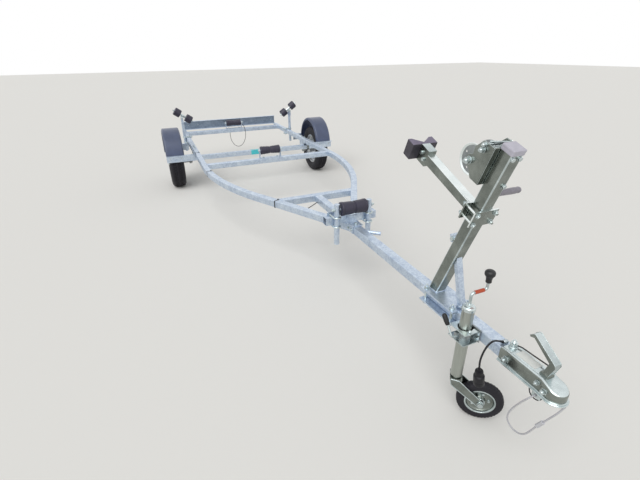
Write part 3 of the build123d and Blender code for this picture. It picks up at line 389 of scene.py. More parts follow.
# Ferrule: an aluminium sleeve pressed round the two ends of the safety rope, crimped twice at each
# end. The plug's pins are of the same bare metal.
# pressed aluminium: a bright pale grey with fine blotches where the dies dulled it
pressed = mottled("pressed_aluminium", ("BDBFC6", "E6E7EC"), (400, 5, 0.6), (0.28, 0.5), settings=bare_metal)
ferrule_low, ferrule_high = at(*SAFETY_LINE[-1]), at(*NOSE_LINE[0])
long = (ferrule_high - ferrule_low).length * 1000
CRIMPED_END = [(3.0, 0), (6.0, 0), (7.0, 1.5), (7.0, 9), (6.2, 10.5), (6.2, 13), (7.0, 14.5)]
ferrule_outline = CRIMPED_END + [(r, long - h) for r, h in reversed(CRIMPED_END)]
ferrule = lathe("rope_ferrule", ferrule_outline, towards(ferrule_low, ferrule_high - ferrule_low), 24)
fit(ferrule, pressed, "zinc_plated", "cable_ferrule")
fit(plug_pins, pressed, "zinc_plated")


# Side rails: 50 mm square steel tube with 3 mm walls, straight and then bent in to the drawbar,
# hot-dip galvanised after welding, so that the zinc runs over every seam.
def plated(name, tones, cloud, fine, share, gloss, dents, settings, ends, spangle_mm=0.0):
    """Zinc coat: its clouds of tone and gloss, with a share of a fine grain or of frosty spangle."""
    material, tree, places = begun(name)
    where = {"Vector": places["Object"]}
    clouds = add(tree, "TexNoise", {"Scale": cloud[0], "Detail": cloud[1], "Roughness": 0.6}, where)
    grain = add(tree, "TexNoise", {"Scale": fine[0], "Detail": fine[1]}, where)
    flake = grain.outputs["Fac"]
    if spangle_mm:
        spangle = add(tree, "TexVoronoi", {"Scale": 1000 / spangle_mm, "Randomness": 1.0}, where)
        flake = add(tree, "SeparateColor", links={"Color": spangle.outputs["Color"]}).outputs[0]
    mixed = {"operation": "MULTIPLY_ADD", 1: share}
    factor = add(tree, "Math", mixed, {0: flake, 2: clouds.outputs["Fac"]}).outputs[0]
    surfaced(tree, factor, tones, gloss, dents, settings, grain.outputs["Fac"], ends, (0.4, 0.9))
    return material


def galvanised_steel(name, tones, spangle_mm):
    """Zinc from the bath: faint frosty spangle, cloudy patches and small runs."""
    dents, dull = (0.16, 0.0006), {"Metallic": 0.88}
    return plated(name, tones, (22, 5), (260, 3), 0.34, (0.5, 0.34), dents, dull, (0.28, 0.98), spangle_mm)


# the photograph's frame is a pale cold blue-grey, whose blue is a painted reflection of the sky;
# spangle of about 6 mm is drawn at its real size
galvanised = galvanised_steel("hot_dip_galvanised_steel", ("A2B2C8", "D9E4EF"), 6.0)


def shaped(node, name):
    """Merged copy of a CAD node, its flats made whole, to be worked on."""
    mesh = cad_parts[node].data.copy()
    mesh.materials.clear()
    piece = bpy.data.objects.new(name, mesh)
    bpy.context.scene.collection.objects.link(piece)
    only(piece)
    bpy.ops.mesh.customdata_custom_splitnormals_clear()
    bpy.ops.object.mode_set(mode="EDIT")
    bpy.ops.mesh.select_all(action="SELECT")
    bpy.ops.mesh.remove_doubles(threshold=5e-6)
    bpy.ops.mesh.dissolve_limited(angle_limit=radians(1.0))
    bpy.ops.object.mode_set(mode="OBJECT")
    return piece


def pick(piece, kind, test):
    """Selects a piece's verts, edges or faces by their place, in edit mode."""
    only(piece)
    bpy.ops.object.mode_set(mode="EDIT")
    mesh = bmesh.from_edit_mesh(piece.data)
    for item in (*mesh.verts, *mesh.edges, *mesh.faces):
        item.select = False
    for item in getattr(mesh, kind):
        if test(item):
            item.select_set(True)
    bmesh.update_edit_mesh(piece.data)


def round_edges(piece, width, test):
    """Rounds the outer edges that pass a test."""
    def outer(edge):
        whole = len(edge.link_faces) == 2 and edge.is_convex
        return whole and edge.calc_face_angle(0.0) > 0.7 and test(edge)

    pick(piece, "edges", outer)
    bpy.ops.mesh.bevel(offset=width, segments=3, affect="EDGES")
    bpy.ops.object.mode_set(mode="OBJECT")
    smooth(piece)


def run(edge, axis):
    """How far an edge runs along one axis."""
    return abs(edge.verts[1].co[axis] - edge.verts[0].co[axis])


def outer_and_long(edge):
    """True for an edge along the trailer that isn't on its middle."""
    across = max(abs(vertex.co.x) for vertex in edge.verts)
    return run(edge, 1) > 0.5 * edge.calc_length() and across > 0.0251


TUBE_ROUND = 0.0055
for side in ("left", "right"):
    rail = shaped(f"side_rail_{side}", f"rail_{side}")
    round_edges(rail, TUBE_ROUND, outer_and_long)
    fit(rail, galvanised, "galvanised", f"side_rail_{side}")

# Ties: black nylon ties that hold the lighting lead along the left rail, each a band with its square
# head.
RAIL_X, BEND_FOOT, BEND_OUTER, BEND_MIDDLE, BEND_ANGLE = 685.0, 1000.0, 2250.0, 2225.0, radians(27.5)
RAIL_MIDDLE_Z = 435


def rail_place(s, side):
    """Middle of a side rail and its turn in plan."""
    past = s - BEND_FOOT
    turn = min(BEND_ANGLE, asin(min(1.0, max(0.0, past / BEND_MIDDLE))))
    x = RAIL_X - BEND_OUTER + BEND_MIDDLE * cos(turn)
    if turn == BEND_ANGLE:
        x -= (past - BEND_MIDDLE * sin(turn)) * tan(turn)
    return Matrix.Translation(at(side * x, s, RAIL_MIDDLE_Z)) @ Matrix.Rotation(-side * turn, 4, "Z")


def wrap(name, wide, long, wall):
    """Open band of a wall thickness round a square bar that runs along y, in mm."""
    corner = Vector((wide, long, wide)) / 2000
    band = slab(name, -corner, corner, 0)
    pick(band, "faces", lambda face: abs(face.normal.y) > 0.9)
    bpy.ops.mesh.delete(type="FACE")
    bpy.ops.object.mode_set(mode="OBJECT")
    skin = band.modifiers.new("wall", "SOLIDIFY")
    skin.thickness, skin.offset = wall / 1000, 1.0
    bpy.ops.object.modifier_apply(modifier="wall")
    return band


OVER_TUBE = 50.1
ties = []
for s in (-520, 420, 1215, 2206):
    band = wrap("band", OVER_TUBE, 7.6, 1.5)
    soften(band, 0.0004)
    lock = slab("lock", Vector((0.0075, -0.00375, 0.02575)), Vector((0.0165, 0.00375, 0.03125)), 0.8)
    tie = joined("tie", [band, lock])
    apply_place(tie, rail_place(s, -1))
    ties.append(tie)
# nylon: near black, smooth, its gloss broken by a grain of about 1 mm
nylon = mottled("black_nylon", ["17181B"], (900, 2), (0.32, 0.5))
fit(joined("lead_ties", ties), nylon, "black_plastic")

# Crossmembers and drawbar: the same square tube, butted to the rails and to each other and welded
# all round. The drawbar carries a bent rod as a rope cleat.
RAIL_FOOT, RAIL_TOP, HALF_TUBE = 410, 460, 25
for place in ("rear", "mid", "front"):
    cross = shaped(f"{place}_crossmember", f"{place}_cross_tube")
    round_edges(cross, TUBE_ROUND, lambda edge: run(edge, 0) > 0.3)
    fit(cross, galvanised, "galvanised", f"{place}_crossmember")
drawbar = shaped("drawbar", "drawbar_tube")
round_edges(drawbar, TUBE_ROUND, lambda edge: run(edge, 1) > 1.0)
fit(drawbar, galvanised, "galvanised", "drawbar")


def bar(name, spots, r, angle=40.0, rings=4, swell=None):
    """Round bar along a line of spots in metres."""
    only(strung(name, "POLY", spots, r, rings, swell))
    bpy.ops.object.convert(target="MESH")
    smooth(bpy.context.object, angle)
    return bpy.context.object


def weld(a, b, r):
    """Bead of weld metal with its ripples, about 2.5 mm apart."""
    count = max(3, round((b - a).length / 0.0025))
    swell = [0.5] + [(1.0, 0.86)[i % 2] for i in range(1, count)] + [0.5]
    return bar("weld", [a.lerp(b, i / count) for i in range(count + 1)], r, 60.0, 1, swell)


def welded(name, seams, r):
    """Beads along (x, s, z) to (x, s, z) in mm, galvanised with the frame."""
    fit(joined(name, [weld(at(*a), at(*b), r) for a, b in seams]), galvanised, "galvanised")


def upright(x, s):
    """Seam up a tube's side."""
    return (x, s, RAIL_FOOT + 3), (x, s, RAIL_TOP - 3)


# the rails run straight again where their bend ends
BEND_END_X, BEND_END_S, NOSE, TIP, FRONT_S = 408.6, 2027.4, 2710.0, 2816.0, (2175, 2225)
JOINT_X = [BEND_END_X - HALF_TUBE / cos(BEND_ANGLE) - (s - BEND_END_S) * tan(BEND_ANGLE) for s in FRONT_S]
seams = []
for side in (-1, 1):
    for front in (-840.0, 983.0):
        x = side * 635
        seams += [upright(x, front - 50), upright(x, front)]
        seams += [((x, front - 48, z), (x, front - 2, z)) for z in (RAIL_FOOT, RAIL_TOP)]
    seams += [upright(side * x, s) for x, s in zip(JOINT_X, FRONT_S)]
    for z in (RAIL_FOOT, RAIL_TOP):
        seams.append(((side * JOINT_X[0], FRONT_S[0] + 2, z), (side * JOINT_X[1], FRONT_S[1] - 2, z)))
        seams.append(((side * HALF_TUBE, NOSE, z), (side * HALF_TUBE, TIP, z)))
    seams += [upright(side * 25.5, NOSE), upright(side * 25.5, TIP), upright(side * HALF_TUBE, FRONT_S[1])]
seams += [((-24, FRONT_S[1], z), (24, FRONT_S[1], z)) for z in (RAIL_FOOT, RAIL_TOP)]
welded("frame_welds", seams, 0.0036)


# Bolts of the whole trailer: bright zinc plated M10 hexagon heads with a washer, and nuts with the
# thread standing out, one of each kind modelled at its real size and then copied.
def zinc_plated_steel(name, tones, gloss):
    """Electroplated zinc, passivated: a satin mirror, with faint drawing marks and cloudy stains."""
    return plated(name, tones, (14, 6), (330, 2), 0.3, gloss, (0.1, 0.0004), bare_metal, (0.42, 0.86))


# fresh plate on small parts, which mirrors the pale sky; on the edges and tops of darker zinc parts
# the same tone is a painted highlight
bright_zinc_and_highlight = zinc_plated_steel("bright_zinc_and_highlight_plate", ("A9B4B5", "D9E3E4"), (0.36, 0.2))
HEX_R, WASHER_R, WASHER_T, BOLT_SIZE = 9.6, 10.5, 2.0, 10.0


def hexagon(height):
    """Hexagon of a bolt head or nut on its washer, its corners turned off at the outer end."""
    bpy.ops.object.select_all(action="DESELECT")
    middle, depth = (0, 0, (WASHER_T + height / 2) / 1000), height / 1000
    bpy.ops.mesh.primitive_cylinder_add(vertices=6, radius=HEX_R / 1000, depth=depth, location=middle)
    piece = bpy.context.object
    apply_place(piece)
    soften(piece, 0.0007)
    rim = [(WASHER_R - 0.5, 0), (WASHER_R, 0.5), (WASHER_R, WASHER_T - 0.4), (WASHER_R - 0.5, WASHER_T)]
    return [piece, lathe("washer", [(0, 0), *rim, (0, WASHER_T)], None, 20)]


bolt_head = joined("bolt_head", hexagon(6.4))
thread, THREAD_PITCH = [(0, 0), (4.6, 0)], 1.5
for i in range(6):
    thread += [(5.0, 8.6 + THREAD_PITCH * i), (4.2, 9.35 + THREAD_PITCH * i)]
thread += [(4.2, 17.6), (0, 17.6)]
nut_end = joined("nut_end", hexagon(8.0) + [lathe("stub", thread, None, 16, 20.0)])
HEAD_THEN_NUT = ((-1, bolt_head), (1, nut_end))


def bolted(kind, spot, way, size=BOLT_SIZE, turn=0.0):
    """Copy of a bolt head or nut end that sits at a spot and faces one way."""
    piece = kind.copy()
    piece.data = kind.data.copy()
    bpy.context.scene.collection.objects.link(piece)
    x = (0, 0, 1) if abs(Vector(way).normalized().x) > 0.9 else (1, 0, 0)
    sized = Matrix.Scale(size / BOLT_SIZE, 4) @ Matrix.Rotation(turn, 4, "Z")
    apply_place(piece, towards(spot, way, x) @ sized)
    return piece


def fastened(name, pieces, body="chassis"):
    """Bolts, nuts and other small bright parts as one piece."""
    fit(joined(name, pieces), bright_zinc_and_highlight, "zinc_plated", body=body)


UP, DOWN, AHEAD, BEHIND = (0, 0, 1), (0, 0, -1), (0, -1, 0), (0, 1, 0)


# Rear channel: folded from 3 mm steel, open towards the coupling, galvanised, and held to each
# rail by bolts through its lower flange.
def softened(node, name, edge, material, slot, body="chassis", segments=2):
    """Merged copy of a CAD node with its edges rounded and its finish on."""
    piece = shaped(node, name)
    soften(piece, edge / 1000, segments)
    return fit(piece, material, slot, node, body=body)


def faced(piece, material, test):
    """Gives the faces that pass a test another finish."""
    piece.data.materials.append(material)
    for face in piece.data.polygons:
        if test(face):
            face.material_index = len(piece.data.materials) - 1


channel = softened("rear_channel", "rear_channel_section", 1.6, galvanised, "galvanised")
# the channel's inner web is painted a darker grey as painted shade, with a larger spangle
painted_shade_galvanised = galvanised_steel("painted_shade_galvanised_steel", ("6F7B8B", "9CA9B9"), 9.0)


def web_inside(face):
    """True for the channel's wide inner face."""
    return face.normal.y < -0.7 and 0.464 < face.center.z < 0.566 and face.area > 0.01


# painted shade on the channel's wide inner face
faced(channel, painted_shade_galvanised, web_inside)
channel_bolts = [bolted(bolt_head, at(x, -1034, 463), UP, 8.0, x) for x in (-641, 641)]
channel_bolts += [bolted(nut_end, at(x, -1057, 515), AHEAD, 6.0, x) for x in (-595, -465, 465, 595)]
fastened("channel_bolts", channel_bolts)


# Rear lamps: a black base, a red lens for tail and brake light, an amber one for the indicator and
# a strip of red reflector below them, all moulded in acrylic with fine upright prisms inside.
def moulded_acrylic(name, tones, prism_mm):
    """Clear coloured plastic: a glossy skin over prisms, drawn as coarse as a render shows them."""
    material, tree, places = begun(name)
    half_waves = 6.3  # of the texture, to a metre at scale 1
    stripes = {"Scale": 1000 / prism_mm / half_waves, "bands_direction": "X"}
    prisms = add(tree, "TexWave", stripes, {"Vector": places["Object"]}).outputs["Fac"]
    glossy = {"IOR": 1.49, "Coat Weight": 0.7, "Coat Roughness": 0.04}
    surfaced(tree, prisms, tones, 0.12, (0.25, 0.0008), glossy)
    return material


def across(side, a, b):
    """Low and high x of a span that is mirrored for the left."""
    return tuple(sorted((side * a, side * b)))


SIDES = (("left", -1), ("right", 1))
PRISM_MM, LENS_S, LENS_Z, SCREW_Z = 4.0, (-1105, -1076), (497, 561), 529
red_lens = moulded_acrylic("red_acrylic", ("6E0A0E", "B5151B"), PRISM_MM)
amber_lens = moulded_acrylic("amber_acrylic", ("A84A06", "E2821A"), PRISM_MM)
for name, side in SIDES:
    base = block("lamp_base", across(side, 420, 640), (-1079, -1060), (465, 565), 5.0, 3)
    fit(base, sheath, "black_plastic", "tail_lamps").name = f"lamp_{name}_base"
    lens = block("lens", across(side, 424, 563), LENS_S, LENS_Z, 5.0, 3)
    reflector = block("reflector", across(side, 424, 636), (-1096, -1076), (469, 493), 3.0, 3)
    fit(joined(f"lamp_{name}_red", [lens, reflector]), red_lens, "red_lens")
    amber = block(f"lamp_{name}_amber", across(side, 567, 636), LENS_S, LENS_Z, 5.0, 3)
    fit(amber, amber_lens, "red_lens")
    fastened(f"lamp_{name}_screws", [
        rod("screw", at(side * x, -1104.6, SCREW_Z), at(side * x, -1107, SCREW_Z), 0.0035, 16, 0.0006)
        for x in (434, 553, 626)
    ])

# Axle: a square torsion beam with welded brackets bolted up to the rails, galvanised. A plain band
# of teal film goes round its middle, with nothing printed on it.
softened("axle_beam", "axle_beam_tube", 2.2, galvanised, "galvanised")
AXLE_S, AXLE_Z = 150, 341
beam_bolts = []
for _, side in SIDES:
    for s in (100, 200):
        beam_bolts.append(bolted(bolt_head, at(side * 660, s, 404), DOWN, 10.0, s))
        beam_bolts.append(bolted(nut_end, at(side * 660, s, RAIL_TOP), UP, 10.0, side * s))
fastened("axle_bolts", beam_bolts)
foot_x = [side * x for _, side in SIDES for x in (637, 683)]
welded("axle_welds", [((x, AXLE_S - 23, 366.5), (x, AXLE_S + 23, 366.5)) for x in foot_x], 0.003)
# vinyl film: a flat turquoise, a little uneven in tone, with a soft shine
teal = mottled("teal_vinyl_film", ("2FA9B4", "58D3DA"), (25, 4), 0.3)
film = wrap("teal_band", OVER_TUBE, 112, 0.3)
apply_place(film, Matrix.Translation(at(40, AXLE_S, AXLE_Z)) @ Matrix.Rotation(pi / 2, 4, "Z"))
fit(film, teal, "grey_plastic")

# Swing arms: forged steel, pressed on the rubber cords at the beam's ends and welded round the stub
# axles, zinc plated, each held by a large washer and bolt.
# plate over a forging stays a duller grey than on a drawn or rolled part
satin_zinc = zinc_plated_steel("satin_zinc_plate", ("7E8486", "A9AFB0"), (0.48, 0.3))
softened("swing_arms", "swing_arm_pair", 2.0, satin_zinc, "zinc_plated")
fastened("swing_arm_bolts", [
    bolted(bolt_head, at(side * 728, AXLE_S, AXLE_Z), (side, 0, 0), 20.0, 0.4) for _, side in SIDES
])


# Road wheels: a pressed steel disc welded into a rolled rim, silver enamelled, four nuts, a pressed
# grease cap over the hub and a rubber valve.
def mirrored(half):
    """Half an outline and its mirror image below."""
    return half + [(r, -h) for r, h in reversed(half) if h]


# stoved enamel: metal flakes of about 1 mm glint under a clear coat
enamel, tree, places = begun("silver_wheel_enamel")
flakes = add(tree, "TexVoronoi", {"Scale": 900.0}, {"Vector": places["Object"]})
tint = add(tree, "SeparateColor", links={"Color": flakes.outputs["Color"]}).outputs[0]
surfaced(tree, tint, ("A9ADB1", "CDD0D3"), 0.32, settings={"Metallic": 0.7, "Coat Weight": 0.5})
# carbon black rubber, dull and a little dusty, with a grain of about 1.5 mm from the mould
rubber = mottled(
    "tyre_rubber", ("121117", "25242B"), (16, 5), 0.62, (0.2, 0.0006), {"Specular IOR Level": 0.35},
    (650, 4, 0.6),
)
NUT_CIRCLE, DISC_FACE, VALVE_R = 50.0, 29.0, 149.0
CAP_OUTLINE = [
    (0, 57), (28.5, 50), (30.6, 50), (30.6, 55), (29, 57.5), (28, 68), (25, 75), (18, 79.5), (8, 81),
    (0, 81.2),
]
VALVE_OUTLINE = [
    (0, 0), (7, 0), (6.5, 4), (4.6, 7), (4.2, 20), (3.6, 22), (3.8, 23), (3.8, 33), (2.8, 34), (0, 34),
]
# half of the tyre's section in mm, from the bead toe over the sidewall to the middle of the tread
HALF_TYRE = [
    (165, 38), (165, 50.5), (166, 51.6), (178.5, 51.7), (181, 54), (184, 60.5), (188, 66.5), (194, 71),
    (195.5, 73.2), (198.5, 73.9), (200, 72.9), (208, 75.6), (216, 77.2), (224, 77.5), (225, 76.7),
    (236, 75.8), (243, 74.2), (244.5, 74.9), (247.5, 73.9), (249, 72), (257, 68.8), (264, 65), (268.5, 61),
    (271.5, 56.5), (273.2, 51.5), (274, 47), (274.3, 36.5), (267, 35.6), (267, 31.4), (274.6, 30.5),
    (275, 16), (267.5, 15), (267.5, 11), (275, 10),
]
HALF_INSIDE = [(172, -44), (188, -58), (215, -65), (240, -60), (255, -53), (262, -40)]
TREAD_STEPS, SIPE_EVERY, SIPE_DEPTH = 360, 6, 0.0055


def sipe(face):
    """True on the faces of the tread's ribs that are cut across."""
    place = face.calc_center_median()
    r, h = place.xy.length * 1000, abs(place.z) * 1000
    step = round((atan2(place.y, place.x) / (2 * pi) * TREAD_STEPS) - 0.5)
    step += SIPE_EVERY // 2 if place.z > 0 else 0
    shoulder, rib = 36.5 < h < 56.0 and r > 271.0, 16.0 < h < 30.5 and r > 274.0
    return (shoulder and step % SIPE_EVERY == 0) or (rib and (step + 2) % SIPE_EVERY == 0)


for name, side in SIDES:
    body, out = f"wheel_{name}", (side, 0, 0)
    wheel = towards(at(side * 880, 0, 275), out, BEHIND)
    rim = shaped(f"rim_{name}", f"wheel_{name}_rim")
    soften(rim, 0.0012)
    fit(rim, enamel, "zinc_plated", f"rim_{name}", body=body)
    nuts = []
    for i in range(4):
        turn = pi / 4 + i * pi / 2
        spot = Vector((cos(turn) * NUT_CIRCLE, sin(turn) * NUT_CIRCLE, DISC_FACE)) / 1000
        nuts.append(bolted(nut_end, wheel @ spot, out, 12.0, turn))
    fastened(f"wheel_{name}_nuts", nuts + [lathe("cap", CAP_OUTLINE, wheel)], body)
    foot, top = (wheel @ (Vector(spot) / 1000) for spot in ((0, VALVE_R, 32), (0, VALVE_R - 16, 62)))
    valve = lathe(f"wheel_{name}_valve", VALVE_OUTLINE, towards(foot, top - foot), 16)
    fit(valve, rubber, "tyre", body=body)
    tyre = lathe(f"tyre_{name}_tread", mirrored(HALF_TYRE) + mirrored(HALF_INSIDE), None, TREAD_STEPS, 28.0)
    pick(tyre, "faces", sipe)
    bpy.ops.mesh.extrude_region_shrink_fatten(TRANSFORM_OT_shrink_fatten={"value": -SIPE_DEPTH})
    bpy.ops.object.mode_set(mode="OBJECT")
    apply_place(tyre, wheel)
    smooth(tyre, 30.0)
    fit(tyre, rubber, "tyre", f"tyre_{name}", body=body)

# Mudguards: black polypropylene, injection moulded, with round shoulders and a rolled lip along each
# skirt, standing on galvanised bars that are bolted to the rails.
# a fine leather-like mould grain of about 1 mm, glossy enough to take the sky; its blue tones are a
# painted reflection of the sky
polypropylene, tree, places = begun("moulded_polypropylene")
where = {"Vector": places["Object"]}
leather = add(tree, "TexVoronoi", {"Scale": 850.0, "feature": "SMOOTH_F1"}, where).outputs["Distance"]
scuffs = add(tree, "TexNoise", {"Scale": 11.0, "Detail": 6.0, "Roughness": 0.65}, where).outputs["Fac"]
waxy = {"Coat Weight": 0.35, "Coat Roughness": 0.25}
surfaced(tree, scuffs, ("333C54", "4E5A78"), (0.3, 0.5), (0.12, 0.0005), waxy, leather)
GUARD_S, GUARD_Z, GUARD_X, GUARD_R, GUARD_WIDE, GUARD_FLAP = -5.0, 370.0, 788.0, 295.0, 190.0, 25.0
SHOULDER_R, SKIN, SKIRT_END, LIP = 17.0, 3.5, 265.0, 3.0


def shoulders(radius):
    """Both round shoulders of the section, each a quarter turn of a radius."""
    spots = []
    for x, start in ((LIP + SHOULDER_R, 180.0), (GUARD_WIDE - LIP - SHOULDER_R, 90.0)):
        turns = [radians(start - 15.0 * i) for i in range(7)]
        spots += [(x + radius * cos(a), GUARD_R - SHOULDER_R + radius * sin(a)) for a in turns]
    return spots


lip_out = [(LIP, 6.0), (0.8, 5.0), (0.0, 3.0), (0.8, 0.8), (LIP, 0.0)]
lip_out = [(x, SKIRT_END + r) for x, r in lip_out]
lip_in = [(LIP + SKIN, SKIRT_END)]
section = lip_out[::-1] + shoulders(SHOULDER_R) + [(GUARD_WIDE - x, r) for x, r in lip_out + lip_in]
section += shoulders(SHOULDER_R - SKIN)[::-1] + lip_in
for name, side in SIDES:
    guard = spun(f"mudguard_{name}_shell", [(r, x) for x, r in section], 60, -pi)
    bpy.ops.object.mode_set(mode="OBJECT")
    pick(guard, "edges", lambda edge: len(edge.link_faces) == 1)
    bpy.ops.mesh.extrude_edges_move(TRANSFORM_OT_translate={"value": (0, -GUARD_FLAP / 1000, 0)})
    bpy.ops.mesh.select_all(action="SELECT")
    bpy.ops.mesh.fill_holes(sides=0)
    bpy.ops.mesh.normals_make_consistent(inside=False)
    bpy.ops.object.mode_set(mode="OBJECT")
    apply_place(guard, towards(at(side * GUARD_X, GUARD_S, GUARD_Z), (side, 0, 0), (0, side, 0)))
    soften(guard, 0.0008, 2, 50.0)
    fit(guard, polypropylene, "black_plastic", f"mudguard_{name}")
softened("mudguard_frames", "mudguard_bars", 1.2, galvanised, "galvanised")
guard_bolts = []
for _, side in SIDES:
    for way in (-1, 1):
        for x in (822, 944):
            spot = at(side * x, GUARD_S + way * 301, 384)
            guard_bolts.append(bolted(bolt_head, spot, (0, -way, 0), 8.0, x))
        for s in (-262, 262):
            guard_bolts.append(bolted(bolt_head, at(side * 691, GUARD_S + s, 430), (side, 0, 0), 10.0, s))
        guard_bolts.append(bolted(bolt_head, at(side * 715, GUARD_S + way * 320, 420), UP, 8.0, way))
fastened("mudguard_bolts", guard_bolts)

# Keel rollers: moulded black rubber with raised rings and a groove round the middle, each turning on
# a bolt between the ears of a folded galvanised bracket.
# smooth mould skin, its lighter bluish-grey clouds a painted sheen, with a grain of about 1 mm
roller_rubber = mottled(
    "moulded_roller_rubber", ("211F2D", "3E3B4E"), (20, 5, 0.6), 0.42, (0.15, 0.0005), grain=(800, 3)
)
PIN_HOLE, RING_H = 8.2, 1.3


def rubber_roller(name, half, r, waist, rings, place, dip=2.7):
    """Roller with raised rings at some distances from its middle, and a groove dipped round it."""
    def radius(h):
        return waist - RING_H + (r - waist) * h / half

    outline = [(PIN_HOLE, half), (r - 9, half), (r - 4, half - 0.6), (r - 1.5, half - 2.5)]
    outline.append((r - 0.4, half - 5))
    for h in rings:
        outline += [(radius(h + 3.2), h + 3.2), (radius(h) + RING_H, h + 2.0)]
        outline += [(radius(h) + RING_H, h - 2.0), (radius(h - 3.2), h - 3.2)]
    floor_r = waist - RING_H - dip
    outline += [(waist - RING_H, 8.0), (floor_r + 0.37 * dip, 6.6), (floor_r, 4.0), (floor_r, 0.0)]
    return lathe(name, mirrored(outline), place, 56, 30.0)


KEELS, KEEL_Z = (("rear", -865.0), ("mid", 958.0)), 538
for name, s in KEELS:
    place = towards(at(0, s, KEEL_Z), (1, 0, 0), BEHIND)
    turned = rubber_roller(f"{name}_roller_rubber", 99, 41, 36, (84, 58, 32), place)
    fit(turned, roller_rubber, "black_rubber", f"{name}_keel_roller", body=f"{name}_roller")
softened("keel_roller_brackets", "roller_brackets", 1.1, galvanised, "galvanised")
keel_bolts = []
for _, s in KEELS:
    for side, kind in HEAD_THEN_NUT:
        keel_bolts.append(bolted(kind, at(side * 110, s, KEEL_Z), (side, 0, 0), 13.0, s))
        keel_bolts.append(bolted(bolt_head, at(side * 72, s, 465), UP, 10.0, side))
fastened("keel_roller_bolts", keel_bolts)


# Side posts: galvanised tubes held to the outside of the rails by U-bolts and a backing plate, with
# a welded fork on top.
def bent(corners, bend, steps=6):
    """Line through corners, each rounded by an arc of the bend's radius."""
    line = [corners[0]]
    for before, corner, after in zip(corners, corners[1:], corners[2:]):
        a, b = (before - corner).normalized(), (after - corner).normalized()
        half = a.angle(b) / 2
        middle = corner + (a + b).normalized() * bend / sin(half)
        start, end = (corner + way * bend / tan(half) - middle for way in (a, b))
        line += [middle + start.lerp(end, i / steps).normalized() * bend for i in range(steps + 1)]
    return line + [corners[-1]]


U_LEG, U_BAR_R = 0.072, 0.005


def u_bolt(middle, out, along, half):
    """U-bolt round a post: its bar, with nuts where its legs end behind a plate."""
    foot, crown = -out * (U_LEG + 0.006), out * half
    turns = ((foot, half), (crown, half), (crown, -half), (foot, -half))
    corners = [middle + spot + along * way for spot, way in turns]
    pieces = [bar("u_bolt", bent(corners, half * 0.96, 8), U_BAR_R)]
    for way in (-1, 1):
        spot = middle - out * U_LEG + along * (half * way)
        pieces.append(bolted(nut_end, spot, -out, U_BAR_R * 2000, way))
    return pieces


softened("side_posts", "side_post_tubes", 1.1, galvanised, "galvanised")
post_bolts, post_plates = [], []
SIDE_S, SIDE_X, HEAD_Z, HEAD_TILT = -488.0, 702.0, 700.0, radians(35.0)
for _, side in SIDES:
    for z in (403.8, 466.2):
        post_bolts += u_bolt(at(side * SIDE_X, SIDE_S, z), Vector((side, 0, 0)), Vector(BEHIND), 0.0223)
    spans = across(side, 629.5, 634.5), (SIDE_S - 36, SIDE_S + 36), (392, 478)
    post_plates.append(block("plate", *spans, 1.2))
    post_bolts.append(bolted(nut_end, at(side * SIDE_X, SIDE_S + 31, HEAD_Z), AHEAD, 12.0))
    post_bolts.append(bolted(bolt_head, at(side * SIDE_X, SIDE_S - 31, HEAD_Z), BEHIND, 12.0))
fastened("side_post_bolts", post_bolts)
fit(joined("side_post_plates", post_plates), galvanised, "galvanised")

# Side rollers: two short rubber rollers on one bolt through the sleeve of each tilting head, which is
# bright zinc plated.
for name, side in SIDES:
    body = f"head_{name}"
    softened(f"side_head_{name}", f"head_{name}_bracket", 1.0, bright_zinc_and_highlight, "zinc_plated", body)
    out = Vector((side * cos(HEAD_TILT), 0, sin(HEAD_TILT)))
    lift = Vector((-side * sin(HEAD_TILT), 0, cos(HEAD_TILT))) * 0.030
    middle = at(side * SIDE_X, SIDE_S, HEAD_Z) + lift
    ends = [bolted(nut_end, middle + out * 0.1125 * way, out * way, 12.0, way) for way in (-1, 1)]
    for way in (-1, 1):
        near, far = middle + out * 0.023 * way, middle + out * 0.0355 * way
        ends.append(rod("spacer", near, far, 0.0125, 24, 0.0006))
    fastened(f"head_{name}_nuts", ends, body)
    for which, way in (("inner", -1), ("outer", 1)):
        place = towards(middle + out * 0.074 * way, out, BEHIND)
        turned = rubber_roller(f"{name}_{which}_rubber", 38, 47, 50, (24,), place, 1.6)
        node = f"side_roller_{name}_{which}"
        fit(turned, roller_rubber, "black_rubber", node, body=f"roller_{name}_{which}")

# Bow roller: a grooved rubber roller between two galvanised posts, which U-bolts hold to the front of
# a cross tube, open at its ends and bolted down on the drawbar by its saddle.
BOW_S, BOW_Z, BOW_X = 2797.1, 565.0, 110.0
bow_place = towards(at(0, BOW_S, BOW_Z), (1, 0, 0), BEHIND)
turned = rubber_roller("bow_roller_rubber", 87, 44, 41, (72,), bow_place, 6.0)
fit(turned, roller_rubber, "black_rubber", "bow_roller", body="nose_roller")
softened("bow_cross_tube", "nose_cross_tube", 1.6, galvanised, "galvanised")
softened("bow_roller_posts", "nose_posts", 1.1, galvanised, "galvanised")
bow_bolts, bow_plates = [], []
for _, side in SIDES:
    for z in (454.4, 515.6):
        bow_bolts += u_bolt(at(side * BOW_X, BOW_S, z), Vector(AHEAD), Vector((1, 0, 0)), 0.0224)
    plate_x = side * BOW_X - 36, side * BOW_X + 36
    bow_plates.append(block("plate", plate_x, (2725, 2730), (443, 527), 1.2))
    bow_plates.append(block("cheek", across(side, 25.4, 31.4), (2786, 2858), (414, 466), 1.2))
    bow_bolts.append(bolted(nut_end, at(side * 127, BOW_S, BOW_Z), (side, 0, 0), 11.0, side))
    bow_bolts += [bolted(bolt_head, at(side * 31.4, s, 437), (side, 0, 0), 9.0, s) for s in (2804, 2842)]
bow_bolts.append(bolted(bolt_head, at(0, 2838, 466), UP, 12.0))
fastened("bow_post_bolts", bow_bolts)
fit(joined("bow_post_plates", bow_plates), galvanised, "galvanised")


